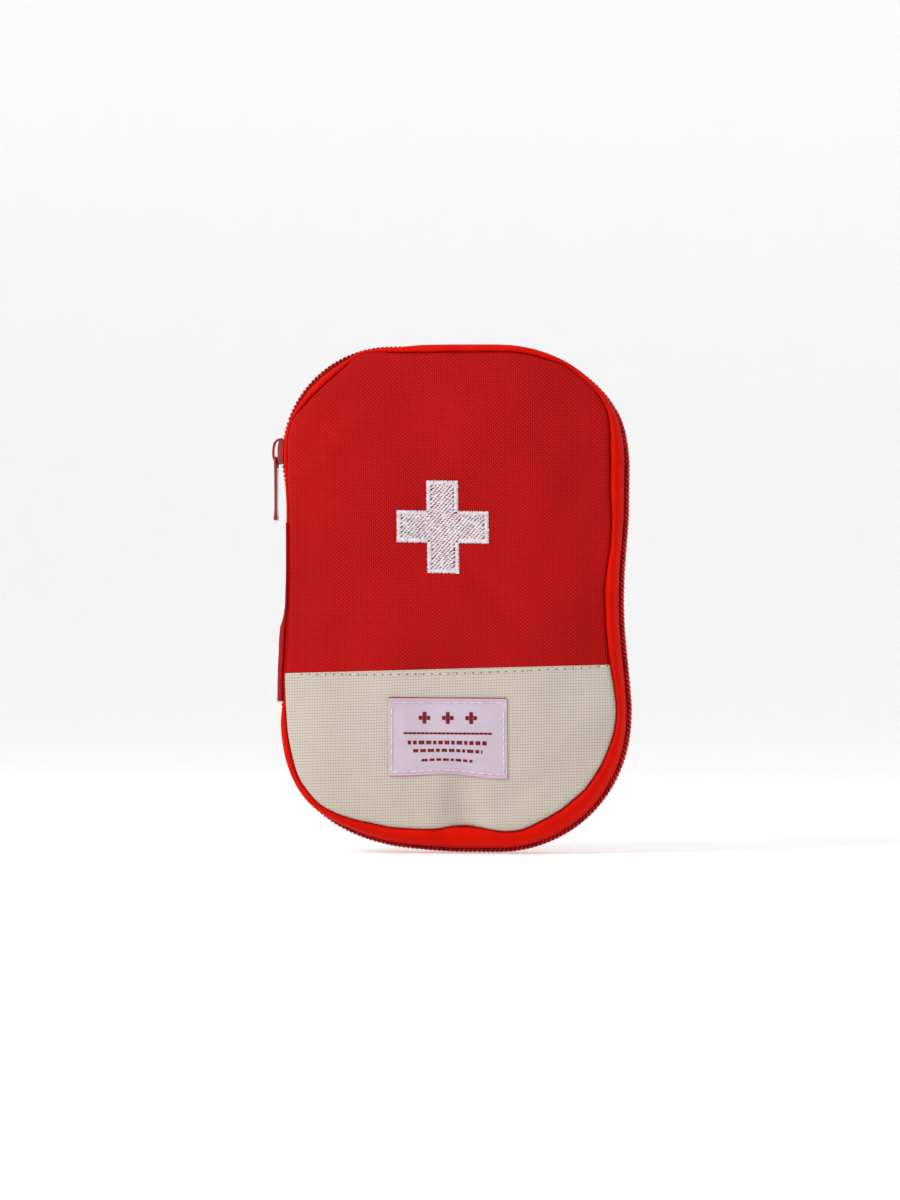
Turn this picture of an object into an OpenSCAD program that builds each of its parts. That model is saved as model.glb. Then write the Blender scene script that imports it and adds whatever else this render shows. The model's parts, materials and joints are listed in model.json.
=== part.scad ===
// Zip-around first aid kit: two padded fabric halves that open like a book about a
// fabric spine, closed by one zip, with dressings and tools in pockets and loops inside.
// The kit is drawn lying on its back: x to the right, y up the case, z towards the front.
// upright() then stands it on its bottom edge with the front facing -Y.

/* [Case] */
// Height of the closed case, standing on its bottom edge
case_h = 185; // [180:1:195]
// Width of the closed case
case_w = 128; // [124:1:136]
// Radius of the top left corner, where the zip slider parks
r_tl = 40; // [38:1:42]
// Radius of the top right corner
r_tr = 45; // [40:1:50]
// Radius of the two bottom corners
r_bottom = 48; // [44:1:52]
// Distance from the zip line to the front face at its middle
half_d = 15; // [14:0.5:18]
// Rise of each padded face from its edge to its middle
dome_rise = 4; // [3:0.5:5]
// Height of the seam between the upper and lower front fabrics
seam_h = 66.5; // [60:0.5:75]

/* [Layers] */
// Thickness of the outer fabric
fabric_t = 0.6; // [0.4:0.1:0.9]
// Thickness of the foam padding
foam_t = 2; // [1.5:0.1:2.4]
// Thickness of the lining
lining_t = 0.4; // [0.2:0.1:0.6]

/* [Zip] */
// Diameter of each half of the zip coil
coil_d = 1.9; // [1.5:0.1:2]
// Gap between the two halves of the zip
zip_gap = 1.2; // [1:0.1:1.4]
// Thickness of the zip tape
tape_t = 0.6; // [0.4:0.1:0.6]
// Length of the slider along the zip
slider_len = 10; // [9:0.5:11]
// Width of the slider across the zip
slider_w = 7.6; // [7.4:0.1:7.6]
// Angle round its corner at which the slider is parked
slider_park = 2.5; // [2:0.5:6]
// Length of the pull tab from its bar
tab_len = 23.5; // [20:0.5:26]
// Width of the pull tab
tab_w = 5.5; // [5:0.1:6]

/* [Spine] */
// Height at which the spine starts
spine_low = 55; // [50:1:60]
// Height at which the spine ends, below the hanging pull tab
spine_high = 120; // [114:1:120]

/* [Badges] */
// Overall width and height of the embroidered cross
cross_size = 33; // [26:1:38]
// Width of the arms of the cross
cross_arm = 11.2; // [8:0.1:14]
// Width of the woven label
label_w = 43; // [36:1:48]
// Height of the woven label
label_h = 28.5; // [24:0.5:32]

/* [Belt loop] */
// Width of the webbing of the belt loop
loop_w = 38; // [25:1:50]
// Room behind the webbing for the belt
loop_gap = 4.6; // [4.5:0.1:6]
// Height of the stretch that a belt can fill
loop_opening = 56; // [40:1:62]

/* [Contents] */
// Diameter of a rolled bandage and of the tape roll
roll_d = 20; // [16:0.5:20]
// Side of a square gauze sachet
gauze_size = 72; // [60:1:74]
// Length of the tweezers
tweezer_len = 76; // [66:1:78]

/* [Hidden] */
$fn = 96;

// The half section of the case, measured inwards from the outline and outwards from the zip line
panel_inset = 6;
dome_inset = 26;
dome_r = (pow(dome_inset - panel_inset, 2) + dome_rise * dome_rise) / (2 * dome_rise);
dome_steps = 6;
inner_v = half_d - fabric_t - foam_t - lining_t;

// The zip: the coil lies flush with the outline and the tape runs under it
coil_in = 0.1;
coil_v = zip_gap / 2 + coil_d / 2;
tape_in = coil_in + coil_d;
tape_v = 6.4;
end_tape_v = 3.7;
end_top = 158;
part_gap = 0.3;

// The slider: two plates, two flanges and a web between the halves of the coil
slide_gap = 0.35;
plate_t = 1;
flange_t = 0.8;
web_t = 0.6;
web_len = 3;
crown_len = 9;
crown_w = 2;
crown_t = 1.2;
crown_top = 3.95;
tab_t = 1.2;
bar_d = 1;
bar_out = 2.05;
bar_down = 2.5;
tab_hole_w = 3.4;
tab_hole_len = 3.6;

// The spine and its fold
spine_t = 0.9;
spine_v = 7;
fold_gap = 0.15;

// Badges and belt loop
patch_t = 0.6;
label_t = 0.5;
cross_at = [-2.6, 118];
label_at = [-0.7, 42];
badge_tilt = -1.8;
webbing_t = 1.2;
loop_mid = 100;
loop_sewn = 12;
loop_ramp = 8;
loop_top = half_d + loop_gap + webbing_t;

// Pockets and contents
pocket_inset = 8;
pocket_t = 0.3;
back_pocket_v = -1.1;
cover_pocket_v = 8;
pocket_top = 84;
hem_h = 4;
hem_t = 0.9;
roll_v = -1.7;
roll_step = 23;
roll_x = -28;
roll_low = 98;
elastic_t = 0.9;
elastic_w = 16;
elastic_gap = 0.1;
elastic_low = 114;
tweezer_at = [35.5, 90];
tweezer_back = -8;
tweezer_loop_w = 10.5;
tweezer_loop_out = -2.8;

// The origin lies under the middle of the overall box, on the surface the kit stands on
shift_x = crown_top / 2;
shift_y = -(loop_top - half_d - patch_t) / 2;

// Corners of the outline in turn: top right, top left, bottom left, bottom right
RADII = [r_tr, r_tl, r_bottom, r_bottom];
CENTRES = [
    [case_w / 2 - r_tr, case_h - r_tr],
    [r_tl - case_w / 2, case_h - r_tl],
    [r_bottom - case_w / 2, r_bottom],
    [case_w / 2 - r_bottom, r_bottom]
];

function radius(i) = RADII[i % 4];
function centre(i) = CENTRES[i % 4];
function on_outline(i, angle, inset) = centre(i) + (radius(i) - inset) * [cos(angle), sin(angle)];

// Height of the padded face above the zip line, a given distance in from the outline
function dome(inset) = half_d - dome_r + sqrt(dome_r * dome_r - pow(dome_inset - inset, 2));
function dome_line(drop) = [
    for (i = [0:dome_steps])
        let (inset = panel_inset + (dome_inset - panel_inset) * i / dome_steps)
            [inset, dome(inset) - drop]
];
function reversed(list) = [for (i = [len(list) - 1:-1:0]) list[i]];
function box_profile(inset, depth, low, high) = [
    [inset, low],
    [inset, high],
    [inset + depth, high],
    [inset + depth, low]
];

GUSSET = [
    [6, 9.2], [6, 10.6], [4.2, 10.3], [2.5, 9.5], [1.1, 8.4], [0, 7.2],
    [0, 5.6], [0.4, 4.8], [1.2, 4.3], [2, 4.3], [2, 7]
];

module upright() {
    translate([shift_x, shift_y, 0]) rotate([90, 0, 0]) children();
}

module back_side() {
    mirror([0, 0, 1]) children();
}

// A profile swept round one corner of the outline
module corner_sweep(i, profile) {
    translate(centre(i)) rotate([0, 0, 90 * i]) rotate_extrude(angle = 90)
        polygon([for (p = profile) [radius(i) - p[0], p[1]]]);
}

// A profile swept along the straight side that follows corner i
module side_sweep(i, profile) {
    out = 90 * (i + 1);
    start = on_outline(i, out, 0);
    run = norm(on_outline(i + 1, out, 0) - start);
    translate(start) rotate([0, 0, out]) translate([0, run, 0]) rotate([90, 0, 0])
        linear_extrude(run) polygon([for (p = profile) [-p[0], p[1]]]);
}

// A profile swept all round the outline
module ring(profile) {
    for (i = [0:3]) {
        corner_sweep(i, profile);
        side_sweep(i, profile);
    }
}

// A flat plate with the case's outline, set in from it
module plate(inset, low, high) {
    translate([0, 0, low]) {
        for (i = [0:3]) translate(centre(i)) cylinder(r = radius(i) - inset, h = high - low);
        linear_extrude(high - low)
            polygon([for (i = [0:3]) for (turn = [0, 1]) on_outline(i, 90 * (i + turn), inset)]);
    }
}

// One layer of the padded face, between two depths below its outer surface
module dome_layer(top, bottom) {
    ring(concat(dome_line(top), reversed(dome_line(bottom))));
    plate(dome_inset, half_d - bottom, half_d - top);
}

module fabric_layer() {
    dome_layer(0, fabric_t);
}

module foam_layer() {
    dome_layer(fabric_t, fabric_t + foam_t);
}

module lining_layer() {
    dome_layer(fabric_t + foam_t, fabric_t + foam_t + lining_t);
}

// The left edge of the case between two heights
module left_edge(low, high) {
    translate([-case_w / 2 - 5, low, -half_d]) cube([20, high - low, 2 * half_d]);
}

module tape_half(width) {
    ring(box_profile(tape_in, tape_t, zip_gap / 2, width));
}

module coil_half() {
    for (i = [0:3]) {
        out = 90 * (i + 1);
        start = on_outline(i, out, coil_in + coil_d / 2);
        run = norm(on_outline(i + 1, out, coil_in + coil_d / 2) - start);
        translate(centre(i)) rotate([0, 0, 90 * i]) rotate_extrude(angle = 90)
            translate([radius(i) - coil_in - coil_d / 2, coil_v]) circle(d = coil_d, $fn = 24);
        translate([start.x, start.y, coil_v]) rotate([0, 0, out]) rotate([-90, 0, 0])
            cylinder(d = coil_d, h = run, $fn = 24);
    }
}

module spine_half() {
    run = spine_high - spine_low;
    translate([-case_w / 2, spine_high, 0]) rotate([90, 0, 0]) linear_extrude(run)
        polygon([
            [-spine_t, fold_gap], [-spine_t, spine_v], [0, spine_v],
            [0, 4], [1.2, 4], [1.2, fold_gap]
        ]);
}

// A pocket front: a flat sheet with a rim that runs back to the lining
module pocket(sheet_low, sheet_high, rim_low, rim_high) {
    intersection() {
        union() {
            plate(pocket_inset, sheet_low, sheet_high);
            ring(box_profile(pocket_inset, pocket_t, rim_low, rim_high));
        }
        translate([-case_w / 2, 0, -half_d]) cube([case_w, pocket_top, 2 * half_d]);
    }
}

// The elastic hem along the top edge of a pocket
module hem(low) {
    intersection() {
        plate(pocket_inset, low, low + hem_t);
        translate([-case_w / 2, pocket_top, -half_d]) cube([case_w, hem_h, 2 * half_d]);
    }
}

// Places a piece at the parked slider: x away from the case, y down towards the spine
module at_slider() {
    translate(centre(1)) rotate([0, 0, 180 - slider_park]) children();
}

// A stretch of the slider that curves with the corner
module slider_bow(low, high, side_low, side_high, along_low, along_high) {
    per_mm = 180 / (PI * r_tl);
    rotate([0, 0, along_low * per_mm]) rotate_extrude(angle = (along_high - along_low) * per_mm)
        polygon([
            [r_tl + low, side_low], [r_tl + high, side_low],
            [r_tl + high, side_high], [r_tl + low, side_high]
        ]);
}

// One elastic loop round a roll, open towards the lining
module roll_loop() {
    inner = roll_d / 2 + elastic_gap;
    outer = inner + elastic_t;
    drop = inner_v + roll_v;
    difference() {
        union() {
            cylinder(r = outer, h = elastic_w);
            translate([-outer, -drop, 0]) cube([2 * outer, drop, elastic_w]);
        }
        translate([0, 0, -1]) cylinder(r = inner, h = elastic_w + 2);
        translate([-inner, -drop - outer, -1]) cube([2 * inner, drop + outer, elastic_w + 2]);
    }
}

// Stands a piece drawn across x and z on the lining, with its axis up the case
module along_case(x, low) {
    translate([x, low, roll_v]) rotate([-90, 0, 0]) mirror([0, 1, 0]) children();
}

module front_panel_upper() {
    color("crimson") upright() intersection() {
        fabric_layer();
        translate([-case_w, seam_h, 0]) cube([2 * case_w, case_h, 2 * half_d]);
    }
}

module front_panel_lower() {
    color("tan") upright() intersection() {
        fabric_layer();
        translate([-case_w, -1, 0]) cube([2 * case_w, seam_h + 1, 2 * half_d]);
    }
}

module front_foam() {
    color("gainsboro") upright() foam_layer();
}

module front_lining() {
    color("firebrick") upright() lining_layer();
}

module front_gusset() {
    color("orangered") upright() ring(GUSSET);
}

module front_zip_tape() {
    color("red") upright() difference() {
        tape_half(tape_v);
        left_edge(spine_low - part_gap, end_top + part_gap);
    }
}

module front_zip_coil() {
    color("darkred") upright() difference() {
        coil_half();
        left_edge(spine_low - part_gap, end_top + part_gap);
    }
}

module spine_front() {
    color("orangered") upright() spine_half();
}

module cross_patch() {
    color("white") upright() translate([cross_at.x, cross_at.y, half_d]) rotate([0, 0, badge_tilt]) {
        translate([-cross_size / 2, -cross_arm / 2, 0]) cube([cross_size, cross_arm, patch_t]);
        translate([-cross_arm / 2, -cross_size / 2, 0]) cube([cross_arm, cross_size, patch_t]);
    }
}

module woven_label() {
    color("thistle") upright() translate([label_at.x - label_w / 2, label_at.y - label_h / 2, half_d])
        cube([label_w, label_h, label_t]);
}

module cover_pocket() {
    rim_high = dome(pocket_inset) - half_d + inner_v;
    color("dimgray") upright()
        pocket(cover_pocket_v, cover_pocket_v + pocket_t, cover_pocket_v, rim_high);
}

module cover_pocket_hem() {
    color("black") upright() hem(cover_pocket_v);
}

module plaster_strips() {
    strip = [19, 72, 0.8];
    low = cover_pocket_v + hem_t + 0.1;
    color("peachpuff") upright() for (column = [-1, 0, 1]) for (layer = [0, 1])
        translate([column * 21 - strip.x / 2, 20 + layer * 2, low + layer * 1.1])
            cube(strip);
}

module back_panel() {
    color("crimson") upright() back_side() fabric_layer();
}

module back_foam() {
    color("gainsboro") upright() back_side() foam_layer();
}

module back_lining() {
    color("firebrick") upright() back_side() lining_layer();
}

module back_gusset() {
    color("orangered") upright() back_side() ring(GUSSET);
}

module back_zip_tape() {
    color("red") upright() back_side() difference() {
        tape_half(tape_v);
        left_edge(spine_low - part_gap, spine_high + part_gap);
    }
}

module back_zip_coil() {
    color("darkred") upright() back_side() difference() {
        coil_half();
        left_edge(spine_low - part_gap, spine_high + part_gap);
    }
}

module front_tape_end() {
    color("red") upright() intersection() {
        tape_half(end_tape_v);
        left_edge(spine_high + part_gap, end_top);
    }
}

module front_coil_end() {
    color("darkred") upright() intersection() {
        coil_half();
        left_edge(spine_high + part_gap, end_top);
    }
}

module spine_back() {
    color("orangered") upright() back_side() spine_half();
}

module belt_loop() {
    sewn = loop_opening / 2 + loop_ramp;
    color("darkred") upright() back_side() translate([-loop_w / 2, loop_mid, half_d])
        rotate([90, 0, 90]) linear_extrude(loop_w) polygon([
            [-sewn - loop_sewn, 0], [-sewn, 0], [-loop_opening / 2, loop_gap],
            [loop_opening / 2, loop_gap], [sewn, 0], [sewn + loop_sewn, 0],
            [sewn + loop_sewn, webbing_t], [sewn + 0.4, webbing_t],
            [loop_opening / 2, loop_gap + webbing_t], [-loop_opening / 2, loop_gap + webbing_t],
            [-sewn - 0.4, webbing_t], [-sewn - loop_sewn, webbing_t]
        ]);
}

module back_pocket() {
    rim_low = -(dome(pocket_inset) - half_d + inner_v);
    color("dimgray") upright()
        pocket(back_pocket_v, back_pocket_v + pocket_t, rim_low, back_pocket_v + pocket_t);
}

module back_pocket_hem() {
    color("black") upright() hem(back_pocket_v);
}

module elastic_loops() {
    color("black") upright() {
        for (i = [0:2]) along_case(roll_x + i * roll_step, elastic_low) roll_loop();
        tweezer_loop();
    }
}

// The small flat loop that holds the tweezers
module tweezer_loop() {
    low = -inner_v + 0.1;
    deep = tweezer_loop_out - low;
    translate([tweezer_at.x - tweezer_loop_w / 2, elastic_low, low]) difference() {
        cube([tweezer_loop_w, elastic_w, deep]);
        translate([elastic_t, -1, -1])
            cube([tweezer_loop_w - 2 * elastic_t, elastic_w + 2, 1 + deep - elastic_t]);
    }
}

module wide_bandage() {
    color("ivory") upright() along_case(roll_x, roll_low) cylinder(d = roll_d, h = 60);
}

module narrow_bandage() {
    color("ivory") upright() along_case(roll_x + roll_step, roll_low) cylinder(d = roll_d, h = 50);
}

module tape_roll() {
    color("white") upright() along_case(roll_x + 2 * roll_step, roll_low + 8) difference() {
        cylinder(d = roll_d, h = 25);
        translate([0, 0, -1]) cylinder(d = 13, h = 27);
    }
}

module tape_core() {
    color("lightsteelblue") upright() along_case(roll_x + 2 * roll_step, roll_low + 8) difference() {
        cylinder(d = 13, h = 25);
        translate([0, 0, -1]) cylinder(d = 11, h = 27);
    }
}

// One bent strip of spring steel: two legs that meet at the top
module tweezers() {
    leg_t = 0.9;
    leg_w = 8;
    spread = 3.9;
    color("silver") upright()
        translate([tweezer_at.x - leg_w / 2, tweezer_at.y, tweezer_back]) {
            rotate([90, 0, 90]) linear_extrude(leg_w) polygon([
                [0, 0], [tweezer_len, 0], [tweezer_len, spread], [0, spread],
                [0, spread - leg_t], [tweezer_len - 8, spread - leg_t],
                [tweezer_len - 8, leg_t], [0, leg_t]
            ]);
        }
}

module gauze_pads() {
    pad_t = 1.9;
    color("whitesmoke") upright() for (i = [0:2])
        translate([-gauze_size / 2, 18 + i, -9.2 + i * (pad_t + 0.1)])
            cube([gauze_size, gauze_size - 8, pad_t]);
}

module wipe_sachets() {
    sachet = [33, 52, 1.2];
    color("lightskyblue") upright() for (side = [-1, 1])
        translate([side * 18.5 - sachet.x / 2, 24, -2.9]) cube(sachet);
}

module slider_body() {
    half = slider_len / 2;
    side = slider_w / 2;
    depth = tape_in + tape_t + slide_gap;
    flange = tape_in - slide_gap;
    color("darkred") upright() at_slider() {
        slider_bow(slide_gap, slide_gap + plate_t, -side, side, -half, half);
        slider_bow(-flange, slide_gap, side - flange_t, side, -half, half);
        slider_bow(-flange, slide_gap, -side, flange_t - side, -half, half);
        slider_bow(-depth - plate_t, slide_gap + plate_t, -web_t / 2, web_t / 2, half - web_len, half);
        slider_bow(-depth - plate_t, -depth, -side, side, -half, half);
    }
}

// The arched bail on the slider's outer plate, which holds the pull tab's bar
module slider_crown() {
    half = crown_len / 2;
    color("maroon") upright() at_slider() difference() {
        translate([r_tl, -half, -crown_w / 2]) cube([crown_top, crown_len, crown_w]);
        translate([0, crown_t - half, -crown_w])
            cube([r_tl + crown_top - crown_t, crown_len - 2 * crown_t, 2 * crown_w]);
        translate([0, 0, -crown_w]) cylinder(r = r_tl + slide_gap + plate_t, h = 2 * crown_w, $fn = 192);
    }
}

// The pull tab hangs straight down from its bar, with the crown's leg in its hole
module pull_tab() {
    pivot = centre(1) + (r_tl + bar_out) * [-cos(slider_park), sin(slider_park)]
        - bar_down * [sin(slider_park), cos(slider_park)];
    rail_w = (tab_w - tab_hole_w) / 2;
    hole_end = bar_d / 2 + tab_hole_len;
    color("maroon") upright() translate(pivot) {
        translate([0, 0, -tab_w / 2]) cylinder(d = bar_d, h = tab_w);
        for (side = [-1, 1]) translate([0, 0, side * (tab_w - rail_w) / 2 - rail_w / 2]) {
            cylinder(d = tab_t, h = rail_w);
            translate([-tab_t / 2, -hole_end, 0]) cube([tab_t, hole_end, rail_w]);
        }
        translate([-tab_t / 2, -tab_len, -tab_w / 2]) cube([tab_t, tab_len - hole_end, tab_w]);
    }
}

front_panel_upper();
front_panel_lower();
front_foam();
front_lining();
front_gusset();
front_zip_tape();
front_zip_coil();
spine_front();
cross_patch();
woven_label();
cover_pocket();
cover_pocket_hem();
plaster_strips();
back_panel();
back_foam();
back_lining();
back_gusset();
back_zip_tape();
back_zip_coil();
front_tape_end();
front_coil_end();
spine_back();
belt_loop();
back_pocket();
back_pocket_hem();
elastic_loops();
wide_bandage();
narrow_bandage();
tape_roll();
tape_core();
tweezers();
gauze_pads();
wipe_sachets();
slider_body();
slider_crown();
pull_tab();
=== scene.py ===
"""First aid kit: fabrics, zip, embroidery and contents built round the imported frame."""
import json
import math

import bmesh
import bpy
import numpy as np
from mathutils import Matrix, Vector
from mathutils.bvhtree import BVHTree


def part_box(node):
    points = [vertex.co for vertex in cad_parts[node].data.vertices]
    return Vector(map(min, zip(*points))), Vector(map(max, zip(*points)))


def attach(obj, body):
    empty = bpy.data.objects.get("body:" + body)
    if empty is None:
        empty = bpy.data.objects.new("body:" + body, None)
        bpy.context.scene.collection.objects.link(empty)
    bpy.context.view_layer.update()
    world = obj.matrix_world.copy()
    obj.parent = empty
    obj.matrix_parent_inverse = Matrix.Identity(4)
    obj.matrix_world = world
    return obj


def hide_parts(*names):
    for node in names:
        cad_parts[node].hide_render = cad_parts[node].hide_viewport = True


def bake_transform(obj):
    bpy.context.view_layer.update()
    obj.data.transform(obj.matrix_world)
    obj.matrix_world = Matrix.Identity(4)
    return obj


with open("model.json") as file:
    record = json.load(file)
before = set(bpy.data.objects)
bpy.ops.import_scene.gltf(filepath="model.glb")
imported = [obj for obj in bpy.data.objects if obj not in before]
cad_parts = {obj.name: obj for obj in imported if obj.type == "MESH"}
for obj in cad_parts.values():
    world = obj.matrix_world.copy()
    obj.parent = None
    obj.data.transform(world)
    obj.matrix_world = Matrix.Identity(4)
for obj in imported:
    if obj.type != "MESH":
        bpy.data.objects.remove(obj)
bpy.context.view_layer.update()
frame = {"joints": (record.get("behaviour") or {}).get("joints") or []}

MM = 0.001
JOINTS = {j["name"]: j for j in frame["joints"]}


def box_mm(node):
    """The low and high corners of a node's box, in mm."""
    return [np.array(corner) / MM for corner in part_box(node)]


# ---- the case, measured from the frame, in mm: x from its middle, rise towards the front, z up ----
back_low, back_high = box_mm("back_gusset")
front_high = box_mm("front_gusset")[1]
MID_X = (back_low[0] + back_high[0]) / 2
ZIP_Y = (front_high[1] + back_low[1]) / 2
HALF_W = (back_high[0] - back_low[0]) / 2
CASE_H = back_high[2]
SLIDER_CORNER_Z = JOINTS["slider_travel"]["pos_m"][2] / MM
R_TOP_LEFT = CASE_H - SLIDER_CORNER_Z
R_TOP_RIGHT = 45.0
R_BOTTOM = 48.0
PANEL_EDGE_RISE = 11.0
DOME_RISE = 3.9
DOME_FALL = 10.0  # how quickly the face swells in from its seam
SEAM_TUCK = 2.3  # how deep the fabric is drawn in at its seam


def place(x, rise, z):
    """Row-frame points in metres, from the case's own x, rise and z in mm."""
    x, rise, z = np.broadcast_arrays(x, rise, z)
    return np.stack([x + MID_X, ZIP_Y - rise, z], axis=-1) * MM


def smooth(low, high, value):
    """0 below low and 1 above high, with an even S between."""
    t = np.clip((value - low) / (high - low), 0, 1)
    return t * t * (3 - 2 * t)


def bump(value, at, width):
    """A bell of unit height."""
    return np.exp(-0.5 * ((value - at) / width) ** 2)


def full_turn(count):
    """Angles round a circle, evenly spaced."""
    return np.linspace(0, 2 * math.pi, count, endpoint=False)


def lengths(path):
    """How far along a path each of its points is."""
    return np.concatenate([[0], np.cumsum(np.linalg.norm(np.diff(path, axis=0), axis=1))])


def unit(vectors):
    """Vectors brought to length 1."""
    return vectors / np.linalg.norm(vectors, axis=1, keepdims=True)


def power(values, exponent):
    """Values from -1 to 1 raised to a power, keeping their sign."""
    return np.sign(values) * np.abs(values) ** exponent


# ---- outline of the case: distance along it runs anticlockwise from the middle of the bottom ----
STEP = 0.25


def base_outline():
    """Distance along, x and z of the plain outline: four arcs joined by straights, evenly sampled."""
    arcs = [
        (HALF_W - R_BOTTOM, R_BOTTOM, R_BOTTOM, -90),
        (HALF_W - R_TOP_RIGHT, CASE_H - R_TOP_RIGHT, R_TOP_RIGHT, 0),
        (R_TOP_LEFT - HALF_W, CASE_H - R_TOP_LEFT, R_TOP_LEFT, 90),
        (R_BOTTOM - HALF_W, R_BOTTOM, R_BOTTOM, 180),
    ]
    points = [np.array([[0.0, 0.0]])]
    for cx, cz, r, start in arcs:
        turn = np.radians(start + np.linspace(0, 90, 181))
        points.append(np.stack([cx + r * np.cos(turn), cz + r * np.sin(turn)], axis=1))
    points = np.concatenate(points + [np.array([[0.0, 0.0]])])
    along = lengths(points)
    even = np.linspace(0, along[-1], int(along[-1] / STEP) + 1)
    return even, np.interp(even, along, points[:, 0]), np.interp(even, along, points[:, 1])


ALONG, OUT_X, OUT_Z = base_outline()
PERIMETER = ALONG[-1]

# How far the soft sides lean out (+) or in (-) from the plain outline, by distance along it
SWAY = [
    (0, -0.1), (30, -0.1), (50, 0.1), (75, 0.2), (87, 0.4), (96, 0.8), (105, 0.1), (115, -0.9),
    (125, -1.8), (135, -2.1), (145, -1.8), (155, -1.0), (165, -0.2), (178, 0.0), (190, 0.1),
    (201, 0.7), (210, 0.3), (222, -0.5), (235, -0.8), (246, -0.7), (257, -0.2), (275, 0.0),
    (297, 0.0), (363, 0.0), (371, -1.3), (377, -1.9), (390, -2.1), (405, -2.1), (415, -1.9),
    (425, -1.0), (440, -0.2), (450, 0.0), (462, -0.2), (475, 0.2), (490, 0.3), (500, -0.6),
    (510, -1.4), (520, -1.8), (530, -1.5), (540, -0.6), (PERIMETER, -0.1),
]


def ring_blur(values, width):
    """A closed run of samples, one every STEP mm, smoothed over width mm."""
    reach = int(3 * width / STEP)
    kernel = bump(np.arange(-reach, reach + 1) * STEP, 0, width)
    loop = np.concatenate([values[-reach - 1:-1], values, values[1:reach + 1]])
    return np.convolve(loop, kernel / kernel.sum(), mode="valid")


def unit_normals(x, z):
    """Outward directions along a closed line that runs anticlockwise."""
    dx, dz = np.gradient(x), np.gradient(z)
    dx[0] = dx[-1] = (x[1] - x[-2]) / 2
    dz[0] = dz[-1] = (z[1] - z[-2]) / 2
    size = np.hypot(dx, dz)
    return dz / size, -dx / size


NORMAL_X, NORMAL_Z = unit_normals(OUT_X, OUT_Z)
lean = ring_blur(np.interp(ALONG, *np.array(SWAY).T), 1.6)
OUT_X, OUT_Z = OUT_X + lean * NORMAL_X, OUT_Z + lean * NORMAL_Z
NORMAL_X, NORMAL_Z = unit_normals(OUT_X, OUT_Z)


def on_side(along, inset, rise):
    """Row-frame points inset mm in from the outline and rise mm in front of the zip line."""
    along = np.mod(along, PERIMETER)
    nx, nz = np.interp(along, ALONG, NORMAL_X), np.interp(along, ALONG, NORMAL_Z)
    x = np.interp(along, ALONG, OUT_X) - inset * nx
    z = np.interp(along, ALONG, OUT_Z) - inset * nz
    return place(x, rise, z)


def out_of_side(along):
    """Outward directions from the case's side, in the row frame."""
    along = np.mod(along, PERIMETER)
    nx, nz = np.interp(along, ALONG, NORMAL_X), np.interp(along, ALONG, NORMAL_Z)
    return np.stack([nx, np.zeros_like(nx), nz], axis=-1)


def ring_noise(seed, wavelength):
    """Smooth closed noise round the outline, of about unit size."""
    own = np.random.default_rng(seed)
    blurred = ring_blur(np.append(own.normal(size=len(ALONG) - 1), 0), wavelength / 3)
    return blurred / blurred.std()


# Where the front panel's seam runs: distance along the outline, and how far in from it
FRONT_SEAM = [
    (0, 9.6), (8, 9.5), (14, 8.7), (20, 7.9), (28, 7.5), (35, 8.3), (45, 8.4), (55, 8.2), (60, 7.5),
    (70, 7.1), (80, 6.2), (88, 5.3), (95, 5.0), (102, 5.2), (110, 5.8), (118, 6.1), (130, 5.9),
    (140, 6.1), (147, 5.6), (153, 5.0), (162, 5.4), (175, 6.2), (185, 6.2), (192, 5.9), (200, 4.4),
    (206, 2.8), (215, 2.0), (230, 1.7), (237, 2.3), (245, 2.7), (255, 3.0), (290, 3.2), (300, 2.8),
    (305, 2.4), (309, 2.6), (316, 5.0), (322, 5.8), (330, 5.9), (338, 5.0), (343, 3.7), (347, 3.0),
    (355, 3.2), (362, 3.5), (370, 2.5), (377, 2.2), (400, 2.3), (415, 2.4), (430, 2.9), (438, 2.8),
    (442, 2.6), (450, 3.1), (460, 3.4), (470, 3.6), (480, 3.2), (488, 3.4), (495, 3.7), (505, 5.3),
    (515, 6.9), (530, 7.5), (540, 8.2), (545, 9.0), (PERIMETER, 9.6),
]
# Where the front band's outer fold lies, clear of the coil or drawn over it
FRONT_FOLD = [
    (0, 2.3), (180, 2.3), (197, 1.9), (210, 1.2), (228, 0.7), (260, 0.5), (285, 0.5), (293, 1.3),
    (303, 2.0), (312, 3.0), (345, 3.0), (352, 2.5), (450, 2.3), (456, 0.9), (485, 0.7), (497, 1.6),
    (506, 2.3), (PERIMETER, 2.3),
]
BACK_FOLD = [(0, 2.3), (PERIMETER, 2.3)]
BACK_SEAM = [(0, 6.0), (150, 5.4), (300, 6.2), (450, 5.6), (PERIMETER, 6.0)]

# The even grid that holds the simulated wrinkles: its spacing, and how far it reaches from the middle
RELIEF_STEP = 2.0
RELIEF_HALF = 68.0
SEARCH_ROWS = 4000  # points compared with the edge at a time, to keep memory down


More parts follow.
